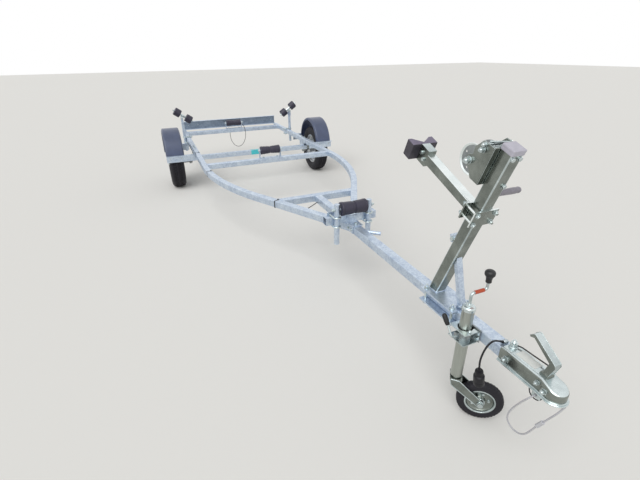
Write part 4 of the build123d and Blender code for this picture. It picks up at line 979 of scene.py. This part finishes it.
# Winch post: a zinc plated 50 mm square tube that leans forward, welded to a galvanised base plate. A
# loose galvanised plate below the drawbar clamps it down with four long bolts.
def seated_block(name, x, y, z, place, edge=0.8, segments=2):
    """Block between pairs in mm in a place's own frame, its edges rounded."""
    low, high = (Vector(corner) / 1000 for corner in zip(x, y, z))
    piece = slab(name, low, high, edge, segments)
    apply_place(piece, place)
    return piece


# zinc plate in two painted tones: a dull grey as painted shade, and nearly white as a painted
# reflection of the sky
painted_shade_zinc = zinc_plated_steel("painted_shade_zinc_plate", ("6E746F", "959B96"), (0.34, 0.18))
painted_highlight_zinc = zinc_plated_steel("painted_highlight_zinc_plate", ("D9E3E2", "F4F9F9"), (0.36, 0.2))
POST_S, PLATE_TOP, LEAN = 3627.0, 468.0, radians(20.5)
POST_UP = Vector((0, -sin(LEAN), cos(LEAN)))
ACROSS, REARWARD = Vector((1, 0, 0)), Vector((0, cos(LEAN), sin(LEAN)))
post_place = towards(at(0, POST_S, PLATE_TOP), POST_UP)


def on_post(x, y, t):
    """Spot from the post's own axes in mm: y to the rear, t up the post."""
    return post_place @ (Vector((x, y, t)) / 1000)


def on_plate(face):
    """True for the faces of the base plate."""
    return face.center.z < (PLATE_TOP + 0.1) / 1000


def tube_corner(face):
    """True for the rounds along the tube's corners, which get a painted highlight."""
    turned = 0.2 < abs(face.normal.x) < 0.98 and abs(face.normal.dot(POST_UP)) < 0.3
    return turned and not on_plate(face)


post = shaped("winch_post", "winch_post_tube")
round_edges(post, 0.0042, lambda edge: edge.calc_length() > 0.5)
soften(post, 0.0008)
# the post takes the painted-shade zinc tone, with a painted highlight along its rounded corners
fit(post, painted_shade_zinc, "zinc_plated", "winch_post")
faced(post, galvanised, on_plate)
faced(post, bright_zinc_and_highlight, tube_corner)
softened("post_base_clamp", "base_clamp_plate", 1.0, galvanised, "galvanised")
base_bolts = []
for x in (-42, 42):
    for s in (3608, 3779):
        base_bolts.append(bolted(nut_end, at(x, s, PLATE_TOP), UP, 12.0, s))
        base_bolts.append(bolted(bolt_head, at(x, s, 402), DOWN, 12.0, s))
        base_bolts.append(rod("shank", at(x, s, 409), at(x, s, 461), 0.0064, 20))
fastened("base_bolts", base_bolts)
foot = 25 / cos(LEAN)
foot_corners = ((-25, foot), (25, foot), (25, -foot), (-25, -foot))
foot_corners = [(x, POST_S + s, PLATE_TOP + 1) for x, s in foot_corners]
welded("post_foot_welds", list(zip(foot_corners, foot_corners[1:] + foot_corners[:1])), 0.0032)

# Post cap: light grey polyethylene pushed over the tube's end, with a soft edge all round.
# waxy and nearly even, with a faint tooth that takes the edge off its shine
polyethylene = mottled("grey_polyethylene", ("A6A4B0", "C2C0CC"), (60, 5), 0.38, (0.08, 0.0005))
cap = joined("post_cap_moulding", [
    seated_block("lid", (-28, 28), (-28, 28), (726, 736), post_place, 3.5, 4),
    seated_block("skirt", (-27.2, 27.2), (-27.2, 27.2), (714, 729), post_place, 2.0, 3),
])
fit(cap, polyethylene, "grey_plastic", "post_cap")

# Brace: galvanised tube from the post's front face down to the base plate, its flattened top held by
# a bolt and its foot in a welded collar.
brace_top, brace_foot = at(0, 3690, 770), at(0, 3796, 440)
brace_way = (brace_top - brace_foot).normalized()
brace_ends = (30, (brace_top - brace_foot).length * 1000 - 1)
brace_place = towards(brace_foot, brace_way)
brace = seated_block("brace_tube", (-13.5, 13.5), (-12, 12), brace_ends, brace_place, 3.0, 3)
fit(brace, galvanised, "galvanised", "post_brace")
COLLAR_OUTLINE = [(14.2, 0), (19, 0), (20, 1), (20, 7), (19, 8), (14.2, 8)]
collar = lathe("collar", COLLAR_OUTLINE, towards(brace_foot + brace_way * 0.036, brace_way), 32)
lug_place = towards(brace_top - brace_way * 0.032, brace_way)
lug = seated_block("lug", (-18, 18), (-17, 17), (-4, 30), lug_place, 2.5, 3)
fit(joined("brace_fittings", [collar, lug]), galvanised, "galvanised")
fastened("brace_bolts", [
    bolted(kind, lug_place @ Vector((0.018 * way, 0, 0.012)), (way, 0, 0)) for way, kind in HEAD_THEN_NUT
])

# Bow stop's arm: 40 mm square tube welded to a plate on the post, clamped by a second plate and four
# bolts, with a folded bracket for the rubber at its upper end. All of it is zinc plated.
ARM_RISE = radians(23.0)
arm_place = towards(on_post(0, 25, 452), (0, cos(ARM_RISE), sin(ARM_RISE)))
arm = shaped("bow_stop_arm", "stop_arm_tube")
round_edges(arm, 0.0036, lambda edge: edge.calc_length() > 0.22)
soften(arm, 0.0009)
# the arm in the painted-shade tone, its upper faces a painted highlight
fit(arm, painted_shade_zinc, "zinc_plated", "bow_stop_arm")
faced(arm, painted_highlight_zinc, lambda face: face.normal.z > 0.3)
# the strap's front and back in the painted-shade tone, its other faces a painted highlight
strap = softened("strap_plate", "front_strap", 0.9, painted_shade_zinc, "zinc_plated")
faced(strap, painted_highlight_zinc, lambda face: abs(face.normal.dot(REARWARD)) < 0.9)
arm_bolts = []
for x in (-41, 41):
    for t in (430, 474):
        arm_bolts.append(bolted(bolt_head, on_post(x, -31, t), -REARWARD, 10.0, t))
        arm_bolts.append(bolted(nut_end, on_post(x, 31, t), REARWARD, 10.0, t))
for way, kind in HEAD_THEN_NUT:
    for y, a in ((-9, 350), (9, 327)):
        spot = arm_place @ (Vector((way * 20, y, a)) / 1000)
        arm_bolts.append(bolted(kind, spot, (way, 0, 0), 9.0, a))
fastened("stop_arm_bolts", arm_bolts)
arm_welds = [weld(on_post(x, 32, 431), on_post(x, 32, 473), 0.003) for x in (-20, 20)]
fit(joined("stop_arm_welds", arm_welds), satin_zinc, "zinc_plated")

# Bow stop: a V block of moulded rubber with rounded edges and a painted grey sheen on its upper faces.
# dull dark rubber, clouded lighter in a painted sheen, with a grain of about 1.5 mm
stop_rubber = mottled("bow_stop_rubber", ("232128", "4A4652"), (26, 5), 0.45, (0.15, 0.0005), grain=(700, 4))
# the same rubber painted a lighter grey as painted sheen, with no shine
painted_sheen = mottled("painted_sheen_rubber", ("5A5366", "857E92"), (40, 5), 0.55)
stop = softened("bow_stop", "bow_stop_block", 3.5, stop_rubber, "black_rubber", segments=4)
# painted sheen on the block's upper faces
faced(stop, painted_sheen, lambda face: face.normal.z > 0.55)
tongue = seated_block("bow_stop_tongue", (-13.9, 13.9), (-35, 36), (325, 372), arm_place, 2.0)
fit(tongue, stop_rubber, "black_rubber")
cover = seated_block("bow_stop_cover", (-20, 20), (-38.5, -35.5), (314, 368), arm_place, 0.9)
fit(cover, bright_zinc_and_highlight, "zinc_plated")


# Hand winch: two pressed cheeks on the post's back, a drum with rolled flanges and a cut gear, and a
# pinion on the crank's shaft, all of it zinc plated and bolted together.
def toothed(name, teeth, tip, root, thick, place):
    """Gear of a tip and root radius, its teeth along its rim."""
    bpy.ops.object.select_all(action="DESELECT")
    bpy.ops.mesh.primitive_cylinder_add(vertices=4 * teeth, radius=tip / 1000, depth=thick / 1000)
    piece = bpy.context.object
    for vertex in piece.data.vertices:
        step = round(atan2(vertex.co.y, vertex.co.x) / (2 * pi) * 4 * teeth) % 4
        if step > 1:
            vertex.co.x *= root / tip
            vertex.co.y *= root / tip
    piece.name = name
    apply_place(piece, place)
    smooth(piece, 20.0)
    return piece


def cut(piece, *tools):
    """Takes the tools' shapes out of a piece."""
    tool = joined("tool", list(tools))
    change = piece.modifiers.new("cut", "BOOLEAN")
    change.operation, change.solver, change.object = "DIFFERENCE", "EXACT", tool
    only(piece)
    bpy.ops.object.modifier_apply(modifier="cut")
    bpy.data.objects.remove(tool)
    smooth(piece)


def flat_plate(name, outline, thick, place, edge):
    """Plate cut to an outline in mm, its thickness along the place's z."""
    piece = strung(name, "POLY", [(x / 1000, y / 1000, 0.0) for x, y in outline], edge / 1000)
    curve = piece.data
    curve.dimensions, curve.fill_mode, curve.use_fill_caps = "2D", "BOTH", False
    curve.splines[0].use_cyclic_u = True
    curve.extrude, curve.offset = (thick / 2 - edge) / 1000, -edge / 1000
    only(piece)
    bpy.ops.object.convert(target="MESH")
    piece = bpy.context.object
    bpy.ops.object.mode_set(mode="EDIT")
    made_whole(0.00002)
    apply_place(piece, place)
    smooth(piece)
    return piece


def about(place, spot):
    """Distance of a spot from a place's axis and along it, in metres."""
    seen_there = place.inverted() @ spot
    return seen_there.xy.length, seen_there.z


CHEEK = [
    (25, 570), (25, 715), (78, 715), (104, 678), (100, 650), (112, 643), (121, 633), (124, 621), (120, 609),
    (110, 601), (97, 600), (68, 570),
]
DRUM_AXLE, CRANK_AXLE, CRANK_RAKE, CRANK_ARM = (103, 622), (66, 687), radians(9.3), 0.185
winch_parts = [seated_block("winch_back", (-50, 50), (25, 29), (570, 715), post_place)]
winch_parts.append(rod("winch_axle", on_post(-58, *DRUM_AXLE), on_post(58, *DRUM_AXLE), 0.008, 24))
for x in (-48, 48):
    winch_parts.append(flat_plate("cheek", CHEEK, 4.0, towards(on_post(x, 0, 0), (1, 0, 0), REARWARD), 0.9))
winch = fit(joined("winch_cheeks", winch_parts), painted_shade_zinc, "zinc_plated", "winch_frame")
# the cheeks in the painted-shade tone, their rounded edges a painted highlight
faced(winch, bright_zinc_and_highlight, lambda face: 0.15 < abs(face.normal.x) < 0.98)
winch_bits = [rod("spacer", on_post(-46, 68, 705), on_post(46, 68, 705), 0.005, 20)]
for way in (-1, 1):
    winch_bits.append(bolted(nut_end, on_post(50 * way, 68, 705), ACROSS * way, 9.0, way))
    winch_bits.append(bolted(nut_end, on_post(50 * way, *DRUM_AXLE), ACROSS * way, 14.0, way))
winch_bits += [bolted(nut_end, on_post(0, 29, t), REARWARD, 10.0, t) for t in (592, 704)]
for x, t in ((15, 592), (-15, 704), (15, 704)):
    winch_bits.append(bolted(bolt_head, on_post(x, -25, t), -REARWARD, 9.0, t))
fastened("winch_fasteners", winch_bits)
# the drum's section: a rolled lip round its open flange, its spool, and the gear's seat at the end
DRUM_OUTLINE = [
    (8.2, -36.4), (49, -36.4), (51, -37.0), (55, -40.4), (56.5, -41), (58.2, -40.8), (59, -39.8),
    (58.8, -38.4), (57.4, -38), (56.4, -38.4), (53, -35.2), (51, -34.2), (26, -34.2), (24, -32), (24, 25),
    (26, 27), (53, 27), (54.5, 26), (56, 27.5), (55, 30), (36, 30), (34, 32), (34, 33.2), (50, 33.2),
    (50, 40.8), (8.2, 40.8),
]
LIP_R, HOLE_CIRCLE, HOLE_R, HOLE_SPAN = 0.050, 40, 4.2, (-45, -30)
drum_place = towards(on_post(0, *DRUM_AXLE), (1, 0, 0), BEHIND)
spool = lathe("winch_drum_spool", DRUM_OUTLINE, drum_place, 64)
turns = [radians(35 + 90 * i) for i in range(4)]
cut(spool, *[seated_rod(drum_place, (HOLE_CIRCLE, turn), *HOLE_SPAN, HOLE_R, 20) for turn in turns])
gear = toothed("gear", 62, 62.0, 58.0, 7.8, towards(on_post(37, *DRUM_AXLE), (1, 0, 0), BEHIND))
drum = fit(joined("winch_drum_spool", [spool, gear]), satin_zinc, "zinc_plated", "winch_drum", body="drum")


def drum_lip(face):
    """True on the lip of the drum's open flange, which gets a painted highlight."""
    reach, along = about(drum_place, face.center)
    return along < 0 and reach > LIP_R


# painted highlight on the drum's flange lip
faced(drum, painted_highlight_zinc, drum_lip)
PAWL_LINE = [(38, 44, 717), (20, 50, 719), (-4, 60, 716), (-30, 74, 711)]
pawl = bar("pawl_handle", bent([on_post(*spot) for spot in PAWL_LINE], 0.006), 0.003)
fit(pawl, bright_zinc_and_highlight, "zinc_plated")
softened("winch_crank", "winch_crank_arm", 1.2, bright_zinc_and_highlight, "zinc_plated", "crank")
crank_end = on_post(0, *CRANK_AXLE) + Vector((0, sin(CRANK_RAKE), -cos(CRANK_RAKE))) * CRANK_ARM
fastened("winch_crank_nuts", [
    bolted(nut_end, on_post(-51, *CRANK_AXLE), -ACROSS, 11.0),
    toothed("pinion", 12, 14.5, 11.0, 7.6, towards(on_post(37, *CRANK_AXLE), (1, 0, 0), BEHIND)),
    bolted(bolt_head, crank_end + ACROSS * 0.070, -ACROSS),
], "crank")
GRIP_OUTLINE = [
    (0, 0.3), (10, 0.3), (12, 2), (12.6, 8), (11.6, 20), (12.2, 45), (13, 70), (13, 92), (11.6, 101),
    (11.4, 103), (12.8, 105.5), (12.8, 110), (11.5, 115), (8, 117.6), (0, 118),
]
grip = lathe("winch_grip_moulding", GRIP_OUTLINE, towards(crank_end + ACROSS * 0.078, (1, 0, 0), BEHIND), 40)
# mid grey nylon, satin, a little uneven where hands have polished it
grip_grey = mottled("grey_moulded_grip", ("75727B", "96939D"), (80, 4), 0.36)
fit(grip, grip_grey, "grey_plastic", "winch_grip", body="crank")

# Jockey clamp: a plate on the drawbar's side, a ring round the tube and two folded ears, zinc plated,
# with a bent rod as its handle and a black PVC grip on the rod's end.
JOCKEY_X, JOCKEY_S, EAR_T, TUBE_ROOM_R = -60.0, 3880.0, 5, 0.0249
softened("jockey_clamp", "jockey_clamp_ring", 0.9, satin_zinc, "zinc_plated")
ears = []
for foot in (450, 400):
    ear = block("ear", (-100, -31), (JOCKEY_S - 44, JOCKEY_S + 44), (foot, foot + EAR_T), 1.2)
    room = [at(JOCKEY_X, JOCKEY_S, z) for z in (foot - 5, foot + EAR_T + 5)]
    cut(ear, rod("tube_room", *room, TUBE_ROOM_R, 40))
    ears.append(ear)
fastened("jockey_clamp_ears", ears)
clamp_bolts = [bolted(nut_end, at(-74, 3919, 455), UP, 9.0)]
for s in (3839, 3921):
    clamp_bolts += [bolted(bolt_head, at(-31, s, z), (-1, 0, 0), 9.0, z) for z in (418, 442)]
fastened("jockey_clamp_bolts", clamp_bolts)
grip_foot, grip_top = at(-129, 3858, 470), at(-134, 3832, 510)
handle_line = [at(-100, 3884, 428), at(-124, 3884, 428), grip_foot, grip_foot.lerp(grip_top, 0.4)]
handle = bar("clamp_handle_rod", bent(handle_line, 0.008), 0.0045)
fit(handle, bright_zinc_and_highlight, "zinc_plated", "clamp_handle")
HANDLE_OUTLINE = [(4.6, 0), (7.6, 1), (9, 6), (10, 20), (10, 38), (8.6, 44), (5, 47), (0, 47.8)]
handle_grip = lathe("clamp_handle_grip", HANDLE_OUTLINE, towards(grip_foot, grip_top - grip_foot), 32)
fit(handle_grip, nylon, "black_plastic")

# Jockey tube: drawn steel tube, zinc plated, with the streaks of drawing along it, a pressed cap on top
# and a rolled foot.
# streaks of drawing about 1.5 mm apart and 120 mm long, in a dull grey plate
drawn, tree, places = begun("drawn_zinc_tube")
stretched = add(tree, "Mapping", {"Scale": (700.0, 700.0, 9.0)}, {"Vector": places["Object"]})
streaks = add(tree, "TexNoise", {"Scale": 1.0, "Detail": 4.0}, {"Vector": stretched.outputs["Vector"]})
surfaced(tree, streaks.outputs["Fac"], ("8A9088", "C3C7C1"), (0.28, 0.44), (0.1, 0.0003), {"Metallic": 0.95})
tube_place = towards(at(JOCKEY_X, JOCKEY_S, 0), UP)
TUBE_OUTLINE = [(21.4, 211), (22, 210), (24, 210.6), (24.6, 213), (24, 216), (24, 537), (21, 537), (21, 211)]
TUBE_CAP = [
    (0, 537), (24.4, 537), (26, 538), (26, 548), (25.2, 552), (22, 555.4), (14, 556.6), (12, 558), (12, 562),
    (10.5, 565), (0, 565),
]
tube = lathe("jockey_tube_wall", TUBE_OUTLINE, tube_place, 56)
fit(tube, drawn, "zinc_plated", "jockey_tube", body="jockey_leg")
fit(lathe("jockey_tube_cap", TUBE_CAP, tube_place, 56), bright_zinc_and_highlight, "zinc_plated", body="jockey_leg")

# Jockey crank: a bent rod, bright zinc plated, with an orange-red PVC sleeve pushed on its arm and a
# black knob moulded on its end.
CRANK_LINE = [(-60, 3880, 562), (-60, 3880, 612), (14, 3880, 612), (14, 3880, 646)]
crank_rod = bar("jockey_crank_rod", bent([at(*spot) for spot in CRANK_LINE], 0.012), 0.006)
fit(crank_rod, bright_zinc_and_highlight, "zinc_plated", "jockey_crank", body="jockey_leg")
# soft PVC: a warm orange-red that is dusty in fine specks
red_pvc = mottled("orange_red_pvc_sleeve", ("9E3B22", "C85A36"), (300, 4), 0.42)
ARM_SLEEVE = [(6.05, 0), (7.2, 0.4), (7.6, 3), (7.6, 43), (7.2, 45.6), (6.05, 46)]
arm_sleeve = lathe("jockey_crank_sleeve", ARM_SLEEVE, towards(at(-46, 3880, 612), (1, 0, 0), BEHIND), 28)
fit(arm_sleeve, red_pvc, "black_plastic", body="jockey_leg")
KNOB = [
    (0, 0.4), (8, 0), (11, 1), (11.8, 4), (11, 7), (11.4, 14), (13, 23), (16.5, 29), (19.4, 33), (20, 36),
    (20, 42), (19, 46), (16, 50), (11, 53), (5, 53.8), (0, 54),
]
knob = lathe("jockey_crank_knob", KNOB, towards(at(14, 3880, 642), UP), 40)
fit(knob, nylon, "black_plastic", body="jockey_leg")

# Jockey fork: two pressed blades with turned edges, welded under a crown plate whose stem runs up in
# the tube, and zinc plated.
FORK_YAW = radians(50)
ahead, aside = Vector((sin(FORK_YAW), -cos(FORK_YAW), 0)), Vector((cos(FORK_YAW), sin(FORK_YAW), 0))


def on_fork(forward, side, z):
    """Spot from the jockey tube's axis in mm, along the fork's own yaw."""
    return at(JOCKEY_X, JOCKEY_S, z) + ahead * (forward / 1000) + aside * (side / 1000)


# the fork's blades take the painted-shade tone of the zinc
softened("jockey_fork", "jockey_fork_pressing", 0.9, painted_shade_zinc, "zinc_plated", "jockey_caster")
UPPER_EDGE = [(-20, 200), (12.6, 198), (119.4, 105.5), (124, 95), (112, 81.5)]
LOWER_EDGE = [(-21, 192), (-16, 172), (-8, 163), (100, 81.5)]
turned_edges = []
for side in (-29, 29):
    for line, bend in ((UPPER_EDGE, 0.005), (LOWER_EDGE, 0.006)):
        spots = [on_fork(forward, side, z) for forward, z in line]
        turned_edges.append(bar("turned_edge", bent(spots, bend, 4), 0.002))
fastened("jockey_fork_edges", turned_edges, "jockey_caster")
fastened("jockey_pin_nuts", [
    bolted(kind, on_fork(110, way * 29.2, 95), aside * way, 13.0) for way, kind in HEAD_THEN_NUT
], "jockey_caster")

# Jockey wheel: two pressed zinc plated halves bolted together round a hub tube, with a solid black
# rubber tyre that has fine cross grooves along its edges.
hub_place = towards(on_fork(110, 0, 95), aside, UP)
HALF_RIM = [
    (9, -20), (19, -20), (20, -19), (20, -8), (23, -4), (34, -3.4), (44, -5), (52, -9), (54, -12), (55, -16),
    (57, -18.4), (60, -19), (62.4, -18), (63, -16), (61.6, -14.6), (60, -15.6), (58.6, -14), (58, -9),
]


def rim_painted_highlight(face):
    """True on the rim's rolled edges and on the hub's ends, which get a painted highlight."""
    reach, along = about(hub_place, face.center)
    return reach > 0.0545 or (reach < 0.0205 and abs(along) > 0.008)


rim = lathe("jockey_rim_pressing", mirrored(HALF_RIM), hub_place, 64)
# the rim in the painted-shade tone, its rolled edges and hub ends a painted highlight
fit(rim, painted_shade_zinc, "zinc_plated", "jockey_rim", body="jockey_wheel")
faced(rim, bright_zinc_and_highlight, rim_painted_highlight)
rim_bolts = []
for i in range(5):
    spot = Matrix.Rotation(radians(72 * i + 14), 4, "Z") @ Vector((0.036, 0, 0))
    for way, kind in HEAD_THEN_NUT:
        rim_bolts.append(bolted(kind, hub_place @ spot + aside * (way * 0.0032), aside * way, 6.5, i))
fastened("jockey_rim_bolts", rim_bolts, "jockey_wheel")
HALF_SOLID_TYRE = [
    (59, -13), (62, -17), (66, -18.6), (72, -19.6), (78, -20), (84, -19.2), (89, -17.6), (91, -16),
    (93.6, -12), (94.8, -8), (95, -3), (93.4, -2.2),
]
TYRE_STEPS, NOTCH_EVERY, NOTCH_DEPTH, NOTCH_R, NOTCH_H = 120, 3, 0.0022, 0.0885, 0.0075
tyre = lathe("jockey_tyre_moulding", mirrored(HALF_SOLID_TYRE), hub_place, TYRE_STEPS)
for vertex in tyre.data.vertices:
    spot = hub_place.inverted() @ vertex.co
    reach, step = spot.xy.length, round(atan2(spot.y, spot.x) / (2 * pi) * TYRE_STEPS)
    if step % NOTCH_EVERY == 0 and reach > NOTCH_R and abs(spot.z) > NOTCH_H:
        vertex.co -= (vertex.co - hub_place @ Vector((0, 0, spot.z))) * (NOTCH_DEPTH / reach)
smooth(tyre, 25.0)
fit(tyre, rubber, "black_rubber", "jockey_tyre", body="jockey_wheel")

# Coupling head: a steel pressing over the drawbar's end, zinc plated, its top drawn down to the round
# nose over the ball socket, with a double flange round its foot and a safety tab welded on its left.
HEAD_REAR, NOSE_S, HEAD_Z0, HEAD_Z1 = 4030.0, 4236.0, 410.0, 472.0
DRAWN_S, DRAWN_LONG, DRAWN_Z, DRAWN_DOWN = 4192, 82, 420.0, 21.0
BALL_R = 0.0252


def nose_shell(name, half, nose, z0, z1, insets):
    """Shell with straight sides and a round nose, its top edge rounded by insets."""
    bpy.ops.object.select_all(action="DESELECT")
    middle = at(0, NOSE_S, z0)
    bpy.ops.mesh.primitive_circle_add(vertices=48, radius=nose / 1000, fill_type="NGON", location=middle)
    piece = bpy.context.object
    piece.name = name
    apply_place(piece)
    wide = half / 1000
    for vertex in piece.data.vertices:
        turn = (vertex.co.y - middle.y) / (nose / 1000)
        if turn > 0.01:
            vertex.co.x = max(-wide, min(wide, vertex.co.x * (2.2 if turn < 0.9 else 1.6)))
            vertex.co.y = middle.y + min(1.0, turn * 1.35) * (NOSE_S - HEAD_REAR) / 1000
    only(piece)
    bpy.ops.object.mode_set(mode="EDIT")
    bpy.ops.mesh.select_all(action="SELECT")
    bpy.ops.mesh.remove_doubles(threshold=0.0008)
    bpy.ops.mesh.dissolve_limited(angle_limit=radians(1.0))
    bpy.ops.mesh.select_all(action="SELECT")
    bpy.ops.mesh.extrude_region_move(TRANSFORM_OT_translate={"value": (0, 0, (z1 - z0) / 1000)})
    for thickness, depth in insets:
        bpy.ops.mesh.inset(thickness=thickness / 1000, depth=depth / 1000)
    made_whole(0.00002)
    smooth(piece)
    return piece


def hollowed(piece, *rooms):
    """Takes (x, s, z) blocks in mm and then the ball's socket out of a shell."""
    for room in rooms:
        cut(piece, block("room", *room, 0))
    cut(piece, rod("socket", at(0, 4240, 400), at(0, 4240, 435), BALL_R, 48))
    return piece


HEAD_INSETS = [(0.6, 4.5), (1.6, 4.2), (3.2, 3.2), (5.0, 2.1)]
head = nose_shell("coupling_pressing", 33.0, 37.0, HEAD_Z0, 458.0, HEAD_INSETS)
for vertex in head.data.vertices:
    share = max(0.0, min(1.0, (WHEEL_Y - vertex.co.y * 1000 - DRAWN_S) / DRAWN_LONG))
    lift = max(0.0, (vertex.co.z * 1000 - DRAWN_Z) / (HEAD_Z1 - DRAWN_Z))
    vertex.co.z -= DRAWN_DOWN / 1000 * lift * share * share * (3 - 2 * share)
hollowed(head, ((-25, 25), (4000, 4085), (400, 460)), ((-28, 28), (4080, 4155), (400, 458)))
flange = nose_shell("flange", 41.0, 44.0, HEAD_Z0, 413.0, [(0.8, 1.0), (1.8, 0.3)])
hollowed(flange, ((-25, 25), (4000, 4160), (400, 460)))
step = nose_shell("step", 36.8, 40.6, 413.0, 419.0, [(0.8, 1.0), (2.2, 0.6)])
hollowed(step, ((-28, 28), (4000, 4160), (400, 460)))
tab = block("tab", (-33, -28), (4183, 4215), (384, 412), 1.6, 3)
cut(tab, rod("hole", at(-40, 4199, 398), at(-20, 4199, 398), 0.005, 24))
# the pressing in the painted-shade tone, its upper faces a painted highlight
fit(head, painted_shade_zinc, "zinc_plated", "coupling_head")
faced(head, bright_zinc_and_highlight, lambda face: face.normal.z > 0.55)
fastened("coupling_flange", [flange, step, tab])
BULGE = [(0, 3.4), (13, 3), (17, 1.4), (18.6, -1), (18.6, -3)]
WIDE_WASHER = [(5, 0), (15, 0), (15.6, 1.6), (15, 3), (5, 3)]
bulges, head_bolts = [], []
for side, kind in ((-1, nut_end), (1, bolt_head)):
    out = (side, 0, 0)
    bulges.append(lathe("bulge", BULGE, towards(at(33 * side, 4222, 437), out, BEHIND), 36))
    head_bolts.append(bolted(kind, at(33 * side, 4062, 436), out, 12.0))
    head_bolts.append(bolted(nut_end, at(33.6 * side, 4192, 447), out, 9.0, side))
    head_bolts.append(bolted(nut_end, at(36.0 * side, 4222, 437), out, 10.0, side))
# the bulges in the painted-shade tone
fit(joined("coupling_bulges", bulges), painted_shade_zinc, "zinc_plated")
head_bolts.append(lathe("washer", WIDE_WASHER, towards(at(4, 4052, 472), UP), 32))
fastened("coupling_bolts", head_bolts + [bolted(nut_end, at(4, 4052, 475), UP, 15.0)])

# Label field on the coupling's top: a plain white vinyl film with nothing printed on it.
# flat white, slightly yellowed in patches, without shine
white_film = mottled("white_vinyl_film", ("D3D6D2", "E9EBE7"), (90, 4), 0.5)
fit(block("blank_label", (-19, 19), (4082, 4162), (471.9, 472.35), 0.1, 1), white_film, "grey_plastic")

# Coupling lever: folded from zinc plated sheet into a channel, turning on a pin in a curved
# housing, and a black rod beside it along the head's right.
LEVER = [
    (54, 0), (34, 0), (19, 50), (22, 60), (108, 118), (116, 119), (130, 106), (126, 100), (112, 105),
    (42, 54), (52, 14),
]
LEVER_WEB = [(36, 2), (21.6, 50), (23.6, 58), (108.6, 115.4), (115, 116.4), (128, 104.4)]
lever_place = towards(at(0, 4240, 472), (1, 0, 0), BEHIND)
lever_parts = []
for way in (-1, 1):
    cheek_place = lever_place @ Matrix.Translation((0, 0, way * 0.0135))
    lever_parts.append(flat_plate("cheek", LEVER, 3.0, cheek_place, 0.7))
web_line = [lever_place @ (Vector((back, up, 0)) / 1000) for back, up in LEVER_WEB]
for a, b in zip(web_line, web_line[1:]):
    reach = (-1, (b - a).length * 1000 + 1)
    lever_parts.append(seated_block("web", (-13.6, 13.6), (-1.5, 1.5), reach, towards(a, b - a), 0.6))
lever = fit(joined("coupling_lever_channel", lever_parts), bright_zinc_and_highlight, "zinc_plated", "coupling_lever")
# painted shade on the flat sides of the lever's cheeks
faced(lever, painted_shade_zinc, lambda face: abs(face.normal.x) > 0.9)
HALF_HOUSING = [(0, -17), (14, -17), (16, -16), (17, -14)]
housing_place = towards(at(0, 4193, 468), (1, 0, 0), BEHIND)
# the housing in the painted-shade tone
fit(lathe("lever_housing", mirrored(HALF_HOUSING), housing_place, 40), painted_shade_zinc, "zinc_plated")
ROD_LINE = [(15, 4058, 478), (20, 4076, 480), (23, 4120, 480), (21, 4176, 486)]
lever_rod = bar("lever_rod", bent([at(*spot) for spot in ROD_LINE], 0.01), 0.0026)
fit(lever_rod, nylon, "black_plastic")

for kind in (bolt_head, nut_end):
    bpy.data.objects.remove(kind)
